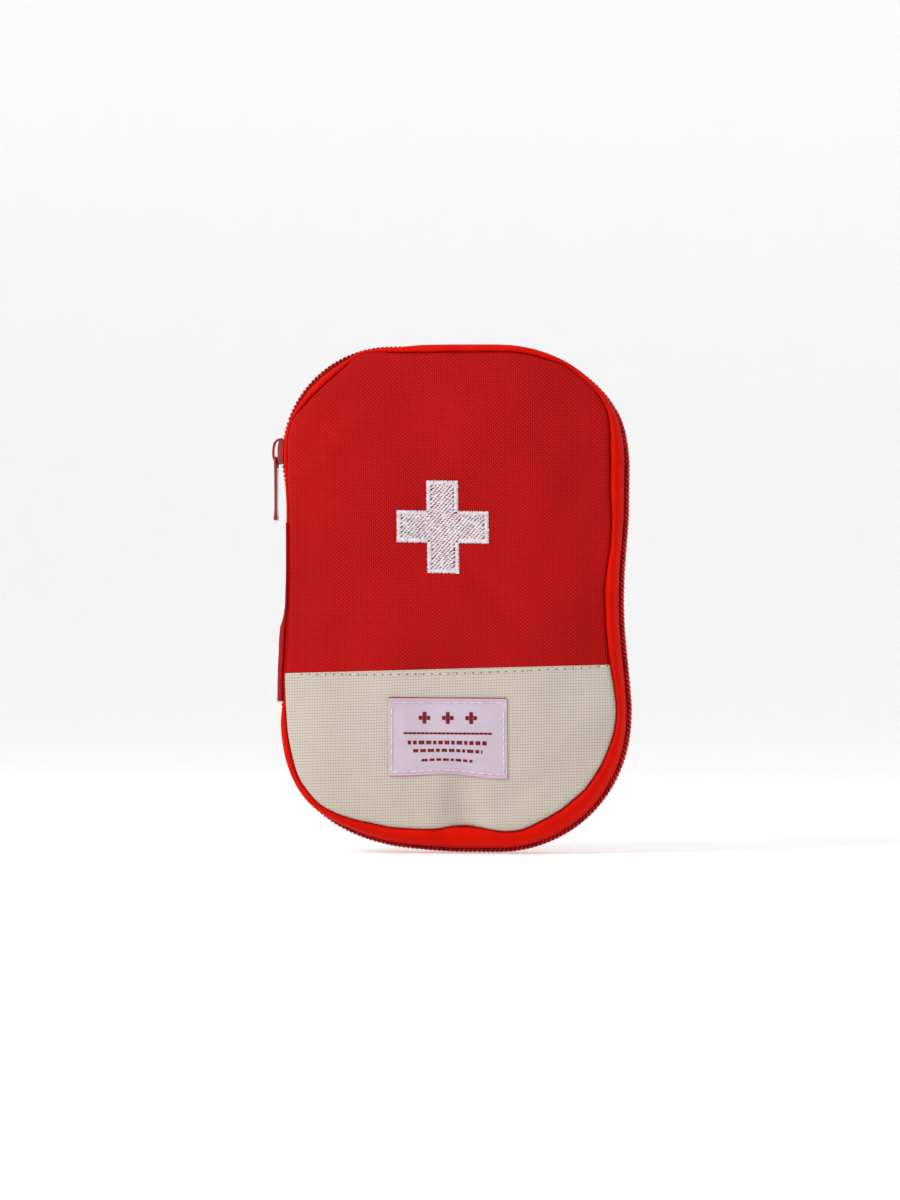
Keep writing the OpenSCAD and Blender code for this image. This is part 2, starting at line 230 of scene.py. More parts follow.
class Face:
    """One padded face: the line of its seam, and the height of its fabric over the zip line."""

    def __init__(self, seam, fold, side, seed):
        self.side = side
        self.inset = ring_blur(np.interp(ALONG, *np.array(seam).T), 1.3) + 0.05 * ring_noise(seed, 9)
        self.fold = ring_blur(np.interp(ALONG, *np.array(fold).T), 2.0)
        self.edge_x = OUT_X - self.inset * NORMAL_X
        self.edge_z = OUT_Z - self.inset * NORMAL_Z
        self.relief = None
        self.waves = np.random.default_rng(seed).uniform(0, 2 * math.pi, (9, 2))[:, 0]

    def near_edge(self, x, z):
        """Distance from the seam, and the place along it, for each point."""
        x, z = np.broadcast_arrays(x, z)
        ex, ez, ea = self.edge_x[::2], self.edge_z[::2], ALONG[::2]
        flat_x, flat_z = np.ravel(x), np.ravel(z)
        far, where = np.empty(len(flat_x)), np.empty(len(flat_x))
        for first in range(0, len(flat_x), SEARCH_ROWS):
            part = slice(first, first + SEARCH_ROWS)
            gap = (flat_x[part, None] - ex) ** 2 + (flat_z[part, None] - ez) ** 2
            best = gap.argmin(axis=1)
            far[part] = np.sqrt(gap[np.arange(len(best)), best])
            where[part] = ea[best]
        return far.reshape(np.shape(x)), where.reshape(np.shape(x))

    def rise(self, x, z):
        """Height of the outer fabric over the zip line, in mm."""
        far, where = self.near_edge(x, z)
        height = PANEL_EDGE_RISE + DOME_RISE * (1 - np.exp(-far / DOME_FALL))
        height -= SEAM_TUCK * np.exp(-((far / 0.42) ** 1.4))
        for turn, phase in enumerate(self.waves):
            angle, length = turn * 2.4, 26 + 9 * turn
            run = x * math.cos(angle) + z * math.sin(angle)
            height += 0.16 * np.sin(2 * math.pi * run / length + phase) * smooth(0, 14, far)
        pucker = np.sin(2 * math.pi * where / 4.3) * np.sin(where / 5.1 + 1) + 0.7 * np.sin(where / 1.9 + 1)
        height += 0.12 * pucker * bump(far, 2.0, 1.3) * self.pucker_share(where)
        if self.relief is not None:
            height += self.relief_at(x, z) * smooth(1.0, 6.0, far)
        return height + self.creases(x, z)

    def relief_at(self, x, z):
        """The wrinkles that the cloth simulation gave, read between its samples."""
        col = np.clip((x + RELIEF_HALF) / RELIEF_STEP, 0, self.relief.shape[0] - 1.001)
        row = np.clip(z / RELIEF_STEP, 0, self.relief.shape[1] - 1.001)
        i, j = col.astype(int), row.astype(int)
        s, t = col - i, row - j
        low = self.relief[i, j] * (1 - s) + self.relief[i + 1, j] * s
        return low * (1 - t) + (self.relief[i, j + 1] * (1 - s) + self.relief[i + 1, j + 1] * s) * t

    def pucker_share(self, where):
        """How strongly the fabric gathers at its seam, by distance along it."""
        return 0.5 + 0.5 * bump(where, 200, 80)

    def creases(self, x, z):
        """Soft folds in the middle of the face, in mm."""
        return -0.35 * ridge(x, z, (18, 60), 60, 34, 6) + 0.3 * ridge(x, z, (-20, 120), 100, 30, 9)


def ridge(x, z, at, angle, length, width):
    """A soft crest of unit height along a line through a point, at an angle from +x."""
    c, s = math.cos(math.radians(angle)), math.sin(math.radians(angle))
    along = (x - at[0]) * c + (z - at[1]) * s
    across = -(x - at[0]) * s + (z - at[1]) * c
    return bump(along, 0, length) * bump(across, 0, width)


class FrontFace(Face):
    """The face in the photograph, with its own gathers and folds."""

    def pucker_share(self, where):
        """The fabric gathers most round the bottom right corner."""
        return 0.35 + 1.5 * bump(where, 58, 22) + 0.8 * bump(where, 500, 16)

    def creases(self, x, z):
        """The dent at the foot of the beige cloth, and the folds round it and at the waist."""
        dent = -1.5 * ridge(x, z, (5, 8), 90, 13, 4.2) - 0.5 * ridge(x, z, (3, 26), 96, 12, 5)
        dent += 0.5 * ridge(x, z, (-6, 14), 84, 14, 4) + 0.5 * ridge(x, z, (15, 12), 100, 12, 4)
        fold = -0.55 * ridge(x, z, (16, 92), -48, 17, 3.4) + 0.35 * ridge(x, z, (22, 97), -48, 16, 4)
        waist = -0.9 * ridge(x, z, (54, 96), 100, 17, 5) + 0.5 * ridge(x, z, (46, 76), 130, 14, 6)
        upper = -0.45 * ridge(x, z, (44, 132), 70, 16, 5) - 0.4 * ridge(x, z, (-34, 84), 60, 18, 7)
        lower = 0.45 * ridge(x, z, (36, 34), 38, 16, 5) - 0.45 * ridge(x, z, (28, 25), 38, 15, 3.5)
        left = -0.4 * ridge(x, z, (-40, 30), -40, 13, 4) + 0.35 * ridge(x, z, (-44, 148), 45, 14, 6)
        return 1.55 * dent + 1.7 * (fold + waist + upper + lower + left)


FRONT = FrontFace(FRONT_SEAM, FRONT_FOLD, 1, 11)
BACK = Face(BACK_SEAM, BACK_FOLD, -1, 23)


SEAM_SLOPE = 0.0253


def seam_z(x):
    """Height of the seam between the red and the beige fabric."""
    return 66.8 + SEAM_SLOPE * x + 0.0004 * x * x


# ---- meshes ----
def in_scene(name, data):
    """A new object for some data, linked to the scene."""
    obj = bpy.data.objects.new(name, data)
    bpy.context.scene.collection.objects.link(obj)
    return obj


def finish_mesh(name, verts, faces, corner_uv=None, materials=()):
    """A smooth shaded object from vertices in metres and faces, with cloth directions if given."""
    mesh = bpy.data.meshes.new(name)
    mesh.from_pydata([tuple(v) for v in verts], [], [tuple(f) for f in faces])
    if corner_uv is not None:
        layer = mesh.uv_layers.new(name="Cloth")
        layer.data.foreach_set("uv", np.asarray(corner_uv, np.float32).ravel())
    mesh.polygons.foreach_set("use_smooth", np.ones(len(mesh.polygons), bool))
    for material in materials:
        mesh.materials.append(material)
    mesh.update()
    return in_scene(name, mesh)


def grid_faces(rows, cols, closed_rows=False, closed_cols=False):
    """Faces of a grid of vertices, and the row and column of each face's corners."""
    i = np.arange(rows if closed_rows else rows - 1)
    j = np.arange(cols if closed_cols else cols - 1)
    i, j = np.meshgrid(i, j, indexing="ij")
    i, j = i.ravel(), j.ravel()
    i2, j2 = (i + 1) % rows, (j + 1) % cols
    faces = np.stack([i * cols + j, i2 * cols + j, i2 * cols + j2, i * cols + j2], axis=1)
    corners = np.stack([i, j, i + 1, j, i + 1, j + 1, i, j + 1], axis=1).reshape(-1, 4, 2)
    return faces, corners


def grid(name, points, closed_rows=False, closed_cols=False, u=None, v=None, flip=False, material=None):
    """A sheet from a grid of points. u runs along the rows and v along the columns, in mm."""
    rows, cols = points.shape[:2]
    faces, corners = grid_faces(rows, cols, closed_rows, closed_cols)
    uv = None
    if u is not None:
        uv = np.stack([np.asarray(u)[corners[..., 0]], np.asarray(v)[corners[..., 1]]], axis=-1)
    if flip:
        faces = faces[:, ::-1]
        uv = None if uv is None else uv[:, ::-1]
    return finish_mesh(name, points.reshape(-1, 3), faces, uv, [material] if material else [])


def loft(sections, caps=True):
    """Vertices and faces of a solid through closed rings of points."""
    rows, cols = sections.shape[:2]
    faces, _ = grid_faces(rows, cols, False, True)
    verts = sections.reshape(-1, 3)
    faces = [list(f) for f in faces]
    if caps:
        faces.append(list(range(cols)))
        faces.append(list(range(rows * cols - 1, (rows - 1) * cols - 1, -1)))
    return verts, faces


def join_parts(name, parts, material):
    """One object from several lots of vertices and faces."""
    verts, faces, start = [], [], 0
    for part_verts, part_faces in parts:
        verts.append(np.asarray(part_verts))
        faces += [[start + k for k in f] for f in part_faces]
        start += len(part_verts)
    obj = finish_mesh(name, np.concatenate(verts), faces, None, [material])
    clean = bmesh.new()
    clean.from_mesh(obj.data)
    bmesh.ops.recalc_face_normals(clean, faces=clean.faces)
    clean.to_mesh(obj.data)
    clean.free()
    return obj


def path_frames(path):
    """Tangents and two normals along a path, carried smoothly from point to point."""
    tangents = unit(np.gradient(path, axis=0))
    side = np.cross(tangents[0], [0.3, 0.9, 0.2])
    sides = []
    for t in tangents:
        side = side - t * (side @ t)
        side = side / np.linalg.norm(side)
        sides.append(side)
    sides = np.array(sides)
    return tangents, sides, np.cross(tangents, sides)


def tube(path, radius, sides=8, flat=1.0, normal=None):
    """Vertices and faces of a round or flattened rod along a path, in metres."""
    path = np.asarray(path, float)
    tangents, first, second = path_frames(path)
    if normal is not None:
        second = np.broadcast_to(normal, path.shape)
        first = unit(np.cross(second, tangents))
    turn = full_turn(sides)
    radius = np.broadcast_to(radius, len(path))
    across = first[:, None] * np.cos(turn)[None, :, None]
    ring = across + flat * second[:, None] * np.sin(turn)[None, :, None]
    return loft(path[:, None] + ring * radius[:, None, None])


def threads(name, start, end, up, radius, material, lift=0.0, flat=0.7, rings=5, sides=6):
    """Many short sewn stitches in one mesh: each runs from start to end and humps along up."""
    start, end, up = (np.asarray(a, float) for a in (start, end, up))
    up = np.broadcast_to(up, start.shape)
    run = end - start
    side = unit(np.cross(run, up))
    t = np.linspace(0, 1, rings)
    hump = np.sin(math.pi * t)
    thick = np.broadcast_to(np.asarray(radius, float), (len(start),))
    centre = start[:, None] + run[:, None] * t[None, :, None] + up[:, None] * (lift * hump)[None, :, None]
    size = thick[:, None] * (0.35 + 0.65 * hump ** 0.5)[None, :]
    turn = full_turn(sides)
    ring = side[:, None, None] * np.cos(turn)[:, None] + flat * up[:, None, None] * np.sin(turn)[:, None]
    points = centre[:, :, None] + ring * size[:, :, None, None]
    one, _ = grid_faces(rings, sides, False, True)
    per = rings * sides
    offset = (np.arange(len(start)) * per)[:, None]
    faces = (one[None] + offset[:, None]).reshape(-1, 4)
    caps_low = np.arange(sides)[::-1][None] + offset
    caps_high = np.arange(per - sides, per)[None] + offset
    faces = faces.tolist() + caps_low.tolist() + caps_high.tolist()
    return finish_mesh(name, points.reshape(-1, 3), faces, None, [material])


def thicken(obj, thickness, offset=-1.0):
    """Gives a sheet a thickness in mm: inwards at offset -1, to both sides at 0."""
    solid = obj.modifiers.new("thickness", "SOLIDIFY")
    solid.thickness = thickness * MM
    solid.offset = offset
    solid.use_rim = True
    return obj


def bake_modifiers(obj):
    """Applies every modifier, so that the mesh is final."""
    graph = bpy.context.evaluated_depsgraph_get()
    mesh = bpy.data.meshes.new_from_object(obj.evaluated_get(graph))
    obj.modifiers.clear()
    obj.data = mesh
    return obj


def wear(obj, body, slot, *nodes):
    """Puts a finished piece on its body and hides the nodes it stands for; slot is not used."""
    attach(obj, body)
    if nodes:
        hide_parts(*nodes)
    return obj


# ---- materials ----
def linear(r, g, b):
    """sRGB 0 to 255 to the linear colour that shaders take."""
    values = [v / 255 for v in (r, g, b)]
    return [v / 12.92 if v <= 0.04045 else ((v + 0.055) / 1.055) ** 2.4 for v in values] + [1.0]


class Shader:
    """A material with short calls for the nodes it needs."""

    def __init__(self, name, **sockets):
        self.material = bpy.data.materials.new(name)
        self.material.use_nodes = True
        self.tree = self.material.node_tree
        self.bsdf = self.tree.nodes["Principled BSDF"]
        for key, value in sockets.items():
            self.bsdf.inputs[key.replace("_", " ")].default_value = value

    def node(self, kind, **settings):
        made = self.tree.nodes.new(kind)
        for key, value in settings.items():
            setattr(made, key, value)
        return made

    def link(self, source, target):
        self.tree.links.new(source, target)

    def feed(self, socket, value):
        if isinstance(value, bpy.types.NodeSocket):
            self.link(value, socket)
        else:
            socket.default_value = value

    def math(self, operation, a, b=0.0, c=0.0):
        made = self.node("ShaderNodeMath", operation=operation)
        for socket, value in zip(made.inputs, (a, b, c)):
            self.feed(socket, value)
        return made.outputs[0]

    def object_axes(self):
        """x, y and z of the piece's own coordinates, in mm."""
        split = self.node("ShaderNodeSeparateXYZ")
        self.link(self.node("ShaderNodeTexCoord").outputs["Object"], split.inputs[0])
        return [self.math("MULTIPLY", split.outputs[k], 1000.0) for k in range(3)]

    def cloth_axes(self):
        """The two directions stored on the cloth, in mm."""
        split = self.node("ShaderNodeSeparateXYZ")
        self.link(self.node("ShaderNodeUVMap", uv_map="Cloth").outputs[0], split.inputs[0])
        return [split.outputs[0], split.outputs[1]]

    def noise(self, scale, detail=3.0, vector=None, stretch=None):
        """Noise over object space, scale in features per metre."""
        made = self.node("ShaderNodeTexNoise")
        made.inputs["Scale"].default_value = scale
        made.inputs["Detail"].default_value = detail
        source = vector or self.node("ShaderNodeTexCoord").outputs["Object"]
        if stretch:
            mapping = self.node("ShaderNodeMapping")
            mapping.inputs["Scale"].default_value = stretch
            self.link(source, mapping.inputs[0])
            source = mapping.outputs[0]
        self.link(source, made.inputs["Vector"])
        return made.outputs["Fac"]

    def ramp(self, value, low, high, out_low=0.0, out_high=1.0):
        made = self.node("ShaderNodeMapRange", clamp=True)
        for socket, number in zip(made.inputs, (value, low, high, out_low, out_high)):
            self.feed(socket, number)
        return made.outputs[0]

    def mix(self, share, first, second):
        made = self.node("ShaderNodeMix", data_type="RGBA")
        self.feed(made.inputs["Factor"], share)
        self.feed(made.inputs["A"], first)
        self.feed(made.inputs["B"], second)
        return made.outputs["Result"]

    def relief(self, height, distance, strength=1.0, under=None):
        made = self.node("ShaderNodeBump")
        made.inputs["Strength"].default_value = strength
        made.inputs["Distance"].default_value = distance * MM
        self.link(height, made.inputs["Height"])
        if under is not None:
            self.link(under, made.inputs["Normal"])
        return made.outputs[0]

    def wave(self, value, pitch):
        """A round thread profile, 1 at the crest and 0 between, repeating every pitch mm."""
        part = self.math("FRACT", self.math("DIVIDE", value, pitch))
        centred = self.math("SUBTRACT", self.math("MULTIPLY", part, 2.0), 1.0)
        return self.math("SUBTRACT", 1.0, self.math("MULTIPLY", centred, centred))

    def plain_weave(self, u, v, pitch_u, pitch_v):
        """Height of a plain weave, and which of the two threads is on top."""
        cell_u = self.math("FLOOR", self.math("DIVIDE", u, pitch_u))
        cell_v = self.math("FLOOR", self.math("DIVIDE", v, pitch_v))
        over = self.math("FLOORED_MODULO", self.math("ADD", cell_u, cell_v), 2.0)
        across_u, across_v = self.wave(u, pitch_u), self.wave(v, pitch_v)
        warp = self.math("MULTIPLY", across_u, self.math("MULTIPLY_ADD", across_v, 0.45, 0.55))
        weft = self.math("MULTIPLY", across_v, self.math("MULTIPLY_ADD", across_u, 0.45, 0.55))
        flat = self.math("SUBTRACT", 1.0, over)
        height = self.math("ADD", self.math("MULTIPLY", warp, over), self.math("MULTIPLY", weft, flat))
        return height, over

    def use(self, colour, normal=None, roughness=None):
        self.feed(self.bsdf.inputs["Base Color"], colour)
        if normal is not None:
            self.link(normal, self.bsdf.inputs["Normal"])
        if roughness is not None:
            self.feed(self.bsdf.inputs["Roughness"], roughness)
        return self.material


def wobble(shader, axes, size, scale):
    """Cloth axes shifted a little by noise, so that threads don't run dead straight."""
    shift = shader.math("MULTIPLY", shader.math("SUBTRACT", shader.noise(scale, 1.0), 0.5), size)
    return [shader.math("ADD", axis, shift) for axis in axes]


def oxford(name, light, dark, pitch, axes="object"):
    """Coarse coated polyester: a checker of crossing threads, with painted highlight on their crowns and
    painted shade between them.
    """
    shader = Shader(name, Roughness=0.62, Sheen_Weight=0.03, Sheen_Roughness=0.4, Specular_IOR_Level=0.09)
    shader.bsdf.inputs["Sheen Tint"].default_value = light
    if axes == "object":
        x, _, z = shader.object_axes()
        u, v = wobble(shader, (x, z), 0.5, 60.0)
    else:
        u, v = wobble(shader, shader.cloth_axes(), 0.4, 60.0)
    height, over = shader.plain_weave(u, v, pitch, pitch * 0.92)
    patchy = shader.noise(22.0, 2.0)
    # Painted highlight and shade: the crown mask colours the tops of the threads light and the hollows
    # between them dark, more so where one direction lies on top; patchy adds random tone.
    crown = shader.ramp(height, 0.25, 0.95)
    crown = shader.math("MULTIPLY", crown, shader.math("MULTIPLY_ADD", over, 0.5, 0.5))
    crown = shader.math("MULTIPLY_ADD", shader.math("SUBTRACT", patchy, 0.5), 0.5, crown)
    fibre = shader.noise(5200.0, 2.0)
    colour = shader.mix(crown, dark, light)
    fuzz = shader.relief(fibre, 0.03, 0.35)
    return shader.use(colour, shader.relief(height, 0.16, 0.85, fuzz), shader.ramp(crown, 0, 1, 0.72, 0.52))


def ribbed(name, light, dark):
    """Beige cloth: a fine plain weave with ribs across it, sagging a little, coloured darker in its hollows
    as painted shade.
    """
    shader = Shader(name, Roughness=0.7, Sheen_Weight=0.05, Sheen_Roughness=0.5, Specular_IOR_Level=0.15)
    x, _, z = shader.object_axes()
    sag = shader.math("MULTIPLY", shader.math("SUBTRACT", shader.noise(14.0, 2.0), 0.5), 1.6)
    u = shader.math("ADD", x, sag)
    v = shader.math("ADD", z, sag)
    v = shader.math("MULTIPLY_ADD", u, -0.03, v)
    rib = shader.wave(v, 1.02)
    height, over = shader.plain_weave(u, v, 0.95, 0.51)
    height = shader.math("ADD", shader.math("MULTIPLY", rib, 0.42), shader.math("MULTIPLY", height, 0.68))
    patchy = shader.math("MULTIPLY", shader.math("SUBTRACT", shader.noise(30.0, 3.0), 0.5), 0.35)
    # Painted shade and highlight: colour follows the rib and weave height, dark in the hollows and light on
    # the crests, more so on one thread direction; patchy adds random tone.
    crown = shader.math("MULTIPLY_ADD", over, 0.3, 0.8)
    share = shader.math("MULTIPLY", shader.ramp(height, 0.12, 0.85), crown)
    share = shader.math("ADD", share, patchy)
    colour = shader.mix(share, dark, light)
    fuzz = shader.relief(shader.noise(5200.0, 2.0), 0.03, 0.35)
    return shader.use(colour, shader.relief(height, 0.16, 0.8, fuzz))


def knit(name, light, dark, shade):
    """Smooth tightly knitted band with faint ribs along it and soft mottling, and painted shade along both
    edges where they sink into grooves.
    """
    shader = Shader(name, Roughness=0.7, Sheen_Weight=0.0, Specular_IOR_Level=0.04)
    shader.bsdf.inputs["Sheen Tint"].default_value = light
    u, v = shader.cloth_axes()
    rows = shader.wave(shader.math("ADD", u, shader.math("MULTIPLY", v, 0.6)), 0.42)
    wales = shader.wave(v, 0.36)
    height = shader.math("ADD", shader.math("MULTIPLY", rows, 0.6), shader.math("MULTIPLY", wales, 0.4))
    mottle = shader.ramp(shader.noise(90.0, 4.0), 0.3, 0.72)
    colour = shader.mix(mottle, dark, light)
    # Painted shade: the band's colour goes towards shade in the groove at the panel seam and along its tucked
    # edge by the coil.
    crease_shade = shader.math("MAXIMUM", shader.ramp(v, 1.9, 1.2), shader.ramp(v, 9.8, 10.5))
    colour = shader.mix(shader.math("MULTIPLY", crease_shade, 0.8), colour, shade)
    fuzz = shader.relief(shader.noise(4200.0, 2.0), 0.03, 0.4)
    return shader.use(colour, shader.relief(height, 0.06, 0.6, fuzz))


def thread(name, light, dark, gloss=0.5):
    """Twisted sewing or embroidery yarn with a silky shine."""
    shader = Shader(name, Roughness=gloss, Sheen_Weight=0.05, Sheen_Roughness=0.3, Specular_IOR_Level=0.2)
    share = shader.ramp(shader.noise(700.0, 3.0), 0.32, 0.68)
    fibre = shader.noise(2600.0, 2.0)
    return shader.use(shader.mix(share, dark, light), shader.relief(fibre, 0.04, 0.5))


def nylon(name, light, dark, gloss=0.34):
    """Zip coil: drawn nylon with a satin shine."""
    shader = Shader(name, Roughness=gloss, Specular_IOR_Level=0.2)
    share = shader.ramp(shader.noise(260.0, 3.0), 0.3, 0.7)
    return shader.use(shader.mix(share, dark, light), shader.relief(shader.noise(1800.0, 2.0), 0.02, 0.4))


def satin(name, light, dark, hem, length):
    """Woven label cloth: fine sideways threads, with pinkish turned hems at its two long ends."""
    shader = Shader(name, Roughness=0.5, Sheen_Weight=0.08, Sheen_Roughness=0.35, Specular_IOR_Level=0.25)
    u, v = shader.cloth_axes()
    height, _ = shader.plain_weave(u, v, 0.34, 0.22)
    # Painted shade: colour follows the weave height, darker between the threads, with random tone from noise.
    share = shader.math("MULTIPLY_ADD", shader.math("SUBTRACT", shader.noise(80.0, 3.0), 0.5), 0.7, height)
    colour = shader.mix(shader.ramp(share, 0.0, 0.9), dark, light)
    for low, high in ((1.9, 1.3), (length - 1.9, length - 1.5)):
        colour = shader.mix(shader.math("MULTIPLY", shader.ramp(v, low, high), 0.75), colour, hem)
    return shader.use(colour, shader.relief(height, 0.05, 0.6))


def enamel(name, light, dark):
    """Glossy painted die-cast metal with faint orange peel."""
    shader = Shader(name, Roughness=0.28, Coat_Weight=0.35, Coat_Roughness=0.08, Specular_IOR_Level=0.35)
    share = shader.ramp(shader.noise(180.0, 4.0), 0.35, 0.7)
    scuffs = shader.ramp(shader.noise(900.0, 5.0), 0.62, 0.8)
    peel = shader.relief(shader.noise(520.0, 2.0), 0.03, 0.25)
    return shader.use(shader.mix(share, dark, light), peel, shader.ramp(scuffs, 0, 1, 0.17, 0.42))


def elastic(name, light, dark):
    """Ribbed elastic: rubber cores along it, covered in fine knitted yarn."""
    shader = Shader(name, Roughness=0.7, Sheen_Weight=0.15, Sheen_Roughness=0.4, Specular_IOR_Level=0.2)
    u, v = shader.cloth_axes()
    cores, stitches = shader.wave(v, 0.9), shader.wave(shader.math("MULTIPLY_ADD", v, 0.7, u), 0.55)
    height = shader.math("MULTIPLY_ADD", stitches, 0.4, shader.math("MULTIPLY", cores, 0.6))
    # Painted shade: colour follows the height of the cores and stitches, darker between them, with random
    # tone from noise.
    share = shader.math("ADD", height, shader.math("MULTIPLY", shader.noise(160.0, 3.0), 0.3))
    return shader.use(shader.mix(shader.ramp(share, 0.2, 1.1), dark, light), shader.relief(height, 0.12, 0.8))


def webbing(name, light, dark):
    """Herringbone webbing: slanted yarns that change direction from column to column."""
    shader = Shader(name, Roughness=0.55, Sheen_Weight=0.08, Sheen_Roughness=0.4, Specular_IOR_Level=0.2)
    u, v = shader.cloth_axes()
    side = shader.math("PINGPONG", u, 2.4)
    slant = shader.wave(shader.math("MULTIPLY_ADD", side, 1.1, v), 0.85)
    columns = shader.ramp(shader.math("ABSOLUTE", shader.math("SUBTRACT", side, 1.2)), 1.2, 0.95)
    height = shader.math("MULTIPLY", slant, shader.math("MULTIPLY_ADD", columns, 0.4, 0.6))
    # Painted shade: colour follows the slanted yarns' height, darker between them, with random tone from
    # noise.
    share = shader.math("MULTIPLY_ADD", shader.noise(60.0, 3.0), 0.4, height)
    fuzz = shader.relief(shader.noise(4200.0, 2.0), 0.03, 0.4)
    colour = shader.mix(shader.ramp(share, 0.15, 1.1), dark, light)
    return shader.use(colour, shader.relief(height, 0.14, 0.7, fuzz))


def paper(name, light, dark, print_colour, gloss=0.55):
    """Packet paper with soft creases, a fine grain and two plain printed bands; the creases are darker in
    their hollows and lighter on their crests as painted shade and highlight.
    """
    shader = Shader(name, Roughness=gloss, Specular_IOR_Level=0.4)
    _, v = shader.cloth_axes()
    grain = shader.noise(340.0, 5.0)
    crease_shade = shader.noise(38.0, 5.0)
    # Painted shade and highlight: the noise that bumps the creases also colours their hollows dark and their
    # crests light.
    colour = shader.mix(shader.ramp(crease_shade, 0.35, 0.7), dark, light)
    for low, high in ((8.0, 10.5), (12.0, 13.0)):
        band_ = shader.math("MULTIPLY", shader.ramp(v, low, low + 0.15), shader.ramp(v, high, high - 0.15))
        colour = shader.mix(shader.math("MULTIPLY", band_, 0.85), colour, print_colour)
    return shader.use(colour, shader.relief(crease_shade, 0.5, 0.5, shader.relief(grain, 0.05, 0.5)))


def crepe(name, light, dark, pitch=0.8):
    """Crinkled cotton gauze or cloth tape: an open weave with uneven threads."""
    shader = Shader(name, Roughness=0.85, Sheen_Weight=0.1, Sheen_Roughness=0.5, Specular_IOR_Level=0.15)
    u, v = wobble(shader, shader.cloth_axes(), 0.5, 90.0)
    height, _ = shader.plain_weave(u, v, pitch, pitch * 0.7)
    # Painted shade: colour follows the weave height, darker between the threads, with random tone from noise.
    share = shader.math("MULTIPLY_ADD", shader.noise(60.0, 4.0), 0.5, height)
    return shader.use(shader.mix(shader.ramp(share, 0.1, 1.0), dark, light), shader.relief(height, 0.2, 0.8))


def plaster(name, light, dark):
    """Stretch plaster fabric with a fine grid of vent holes."""
    shader = Shader(name, Roughness=0.6, Sheen_Weight=0.1, Sheen_Roughness=0.4, Specular_IOR_Level=0.2)
    x, _, z = shader.object_axes()
    dots = shader.math("MULTIPLY", shader.wave(x, 1.9), shader.wave(z, 1.9))
    hole = shader.ramp(dots, 0.86, 0.95)
    grain = shader.noise(1500.0, 3.0)
    colour = shader.mix(grain, dark, light)
    # Painted shade: the vent holes, which are dips in the bump, are coloured dark.
    colour = shader.mix(shader.math("MULTIPLY", hole, 0.6), colour, dark)
    return shader.use(colour, shader.relief(shader.math("SUBTRACT", grain, hole), 0.05, 0.7))


def moulded(name, light, dark):
    """Injection moulded plastic with a fine spark-eroded grain."""
    shader = Shader(name, Roughness=0.42, Specular_IOR_Level=0.45)
    share = shader.ramp(shader.noise(120.0, 3.0), 0.3, 0.7)
    return shader.use(shader.mix(share, dark, light), shader.relief(shader.noise(2600.0, 2.0), 0.02, 0.5))


def brushed(name):
    """Stainless steel brushed along the legs, with faint wear."""
    shader = Shader(name, Metallic=1.0, Roughness=0.3)
    lines = shader.noise(2400.0, 3.0, stretch=(1.0, 1.0, 0.03))
    wear_ = shader.noise(140.0, 4.0)
    colour = shader.mix(shader.ramp(wear_, 0.3, 0.7), (0.55, 0.56, 0.57, 1), (0.72, 0.73, 0.74, 1))
    return shader.use(colour, shader.relief(lines, 0.02, 0.4), shader.ramp(lines, 0.2, 0.8, 0.24, 0.42))


LABEL_W, LABEL_H = 43.0, 28.5
RED = oxford("red_oxford", linear(206, 15, 13), linear(132, 2, 4), 0.78)
BEIGE = ribbed("beige_rib", linear(200, 190, 178), linear(148, 138, 126))
# The band's third colour is the painted shade in its edge grooves.
BAND = knit("band_knit", linear(204, 18, 2), linear(188, 13, 2), linear(96, 4, 2))
COIL = nylon("coil_nylon", linear(214, 26, 26), linear(150, 8, 14))
# The filler cord inside the coil is real; its dark colour is painted shade in the gaps between the coil's
# loops.
CORD_SHADE = nylon("coil_cord", linear(84, 4, 8), linear(48, 2, 4), 0.7)
TAPE = oxford("tape_weave", linear(196, 22, 24), linear(128, 6, 10), 0.5, "cloth")
WHITE_YARN = thread("white_yarn", linear(226, 221, 226), linear(190, 180, 187))
BEIGE_YARN = thread("beige_yarn", linear(216, 208, 192), linear(170, 158, 140), 0.65)
RED_YARN = thread("red_yarn", linear(200, 26, 28), linear(150, 10, 16), 0.6)
PRINT_YARN = thread("print_yarn", linear(136, 14, 32), linear(96, 6, 20), 0.6)
LABEL = satin("label_satin", linear(200, 186, 199), linear(164, 149, 164), linear(196, 158, 176), LABEL_H)
ENAMEL = enamel("red_enamel", linear(176, 14, 26), linear(116, 6, 14))
LINING = oxford("lining_taffeta", linear(176, 20, 26), linear(120, 8, 14), 0.3, "cloth")
BINDING = oxford("binding_tape", linear(150, 16, 22), linear(98, 6, 12), 0.55, "cloth")
NET = thread("net_yarn", linear(96, 98, 102), linear(58, 60, 64), 0.6)
ELASTIC = elastic("elastic_black", linear(50, 50, 54), linear(22, 22, 25))
WEBBING = webbing("webbing_red", linear(184, 22, 28), linear(116, 6, 14))
PAPER = paper("packet_paper", linear(238, 240, 242), linear(204, 214, 224), linear(120, 158, 190))
FOIL = paper("wipe_foil", linear(226, 234, 240), linear(176, 198, 212), linear(70, 140, 150), 0.32)
CREPE = crepe("bandage_crepe", linear(240, 238, 230), linear(206, 202, 190))
TAPE_ROLL = crepe("tape_cloth", linear(244, 242, 236), linear(218, 214, 206), 0.5)
PLASTER = plaster("plaster_skin", linear(222, 180, 148), linear(188, 140, 108))
CORE = moulded("core_blue", linear(128, 160, 200), linear(96, 128, 170))
STEEL = brushed("tweezer_steel")


# ---- padded faces ----
HUB_LOW, HUB_HIGH = 60.0, 126.0
TOP_MIDDLE = float(np.interp(0, -OUT_X[(OUT_Z > CASE_H - 5)], ALONG[(OUT_Z > CASE_H - 5)]))


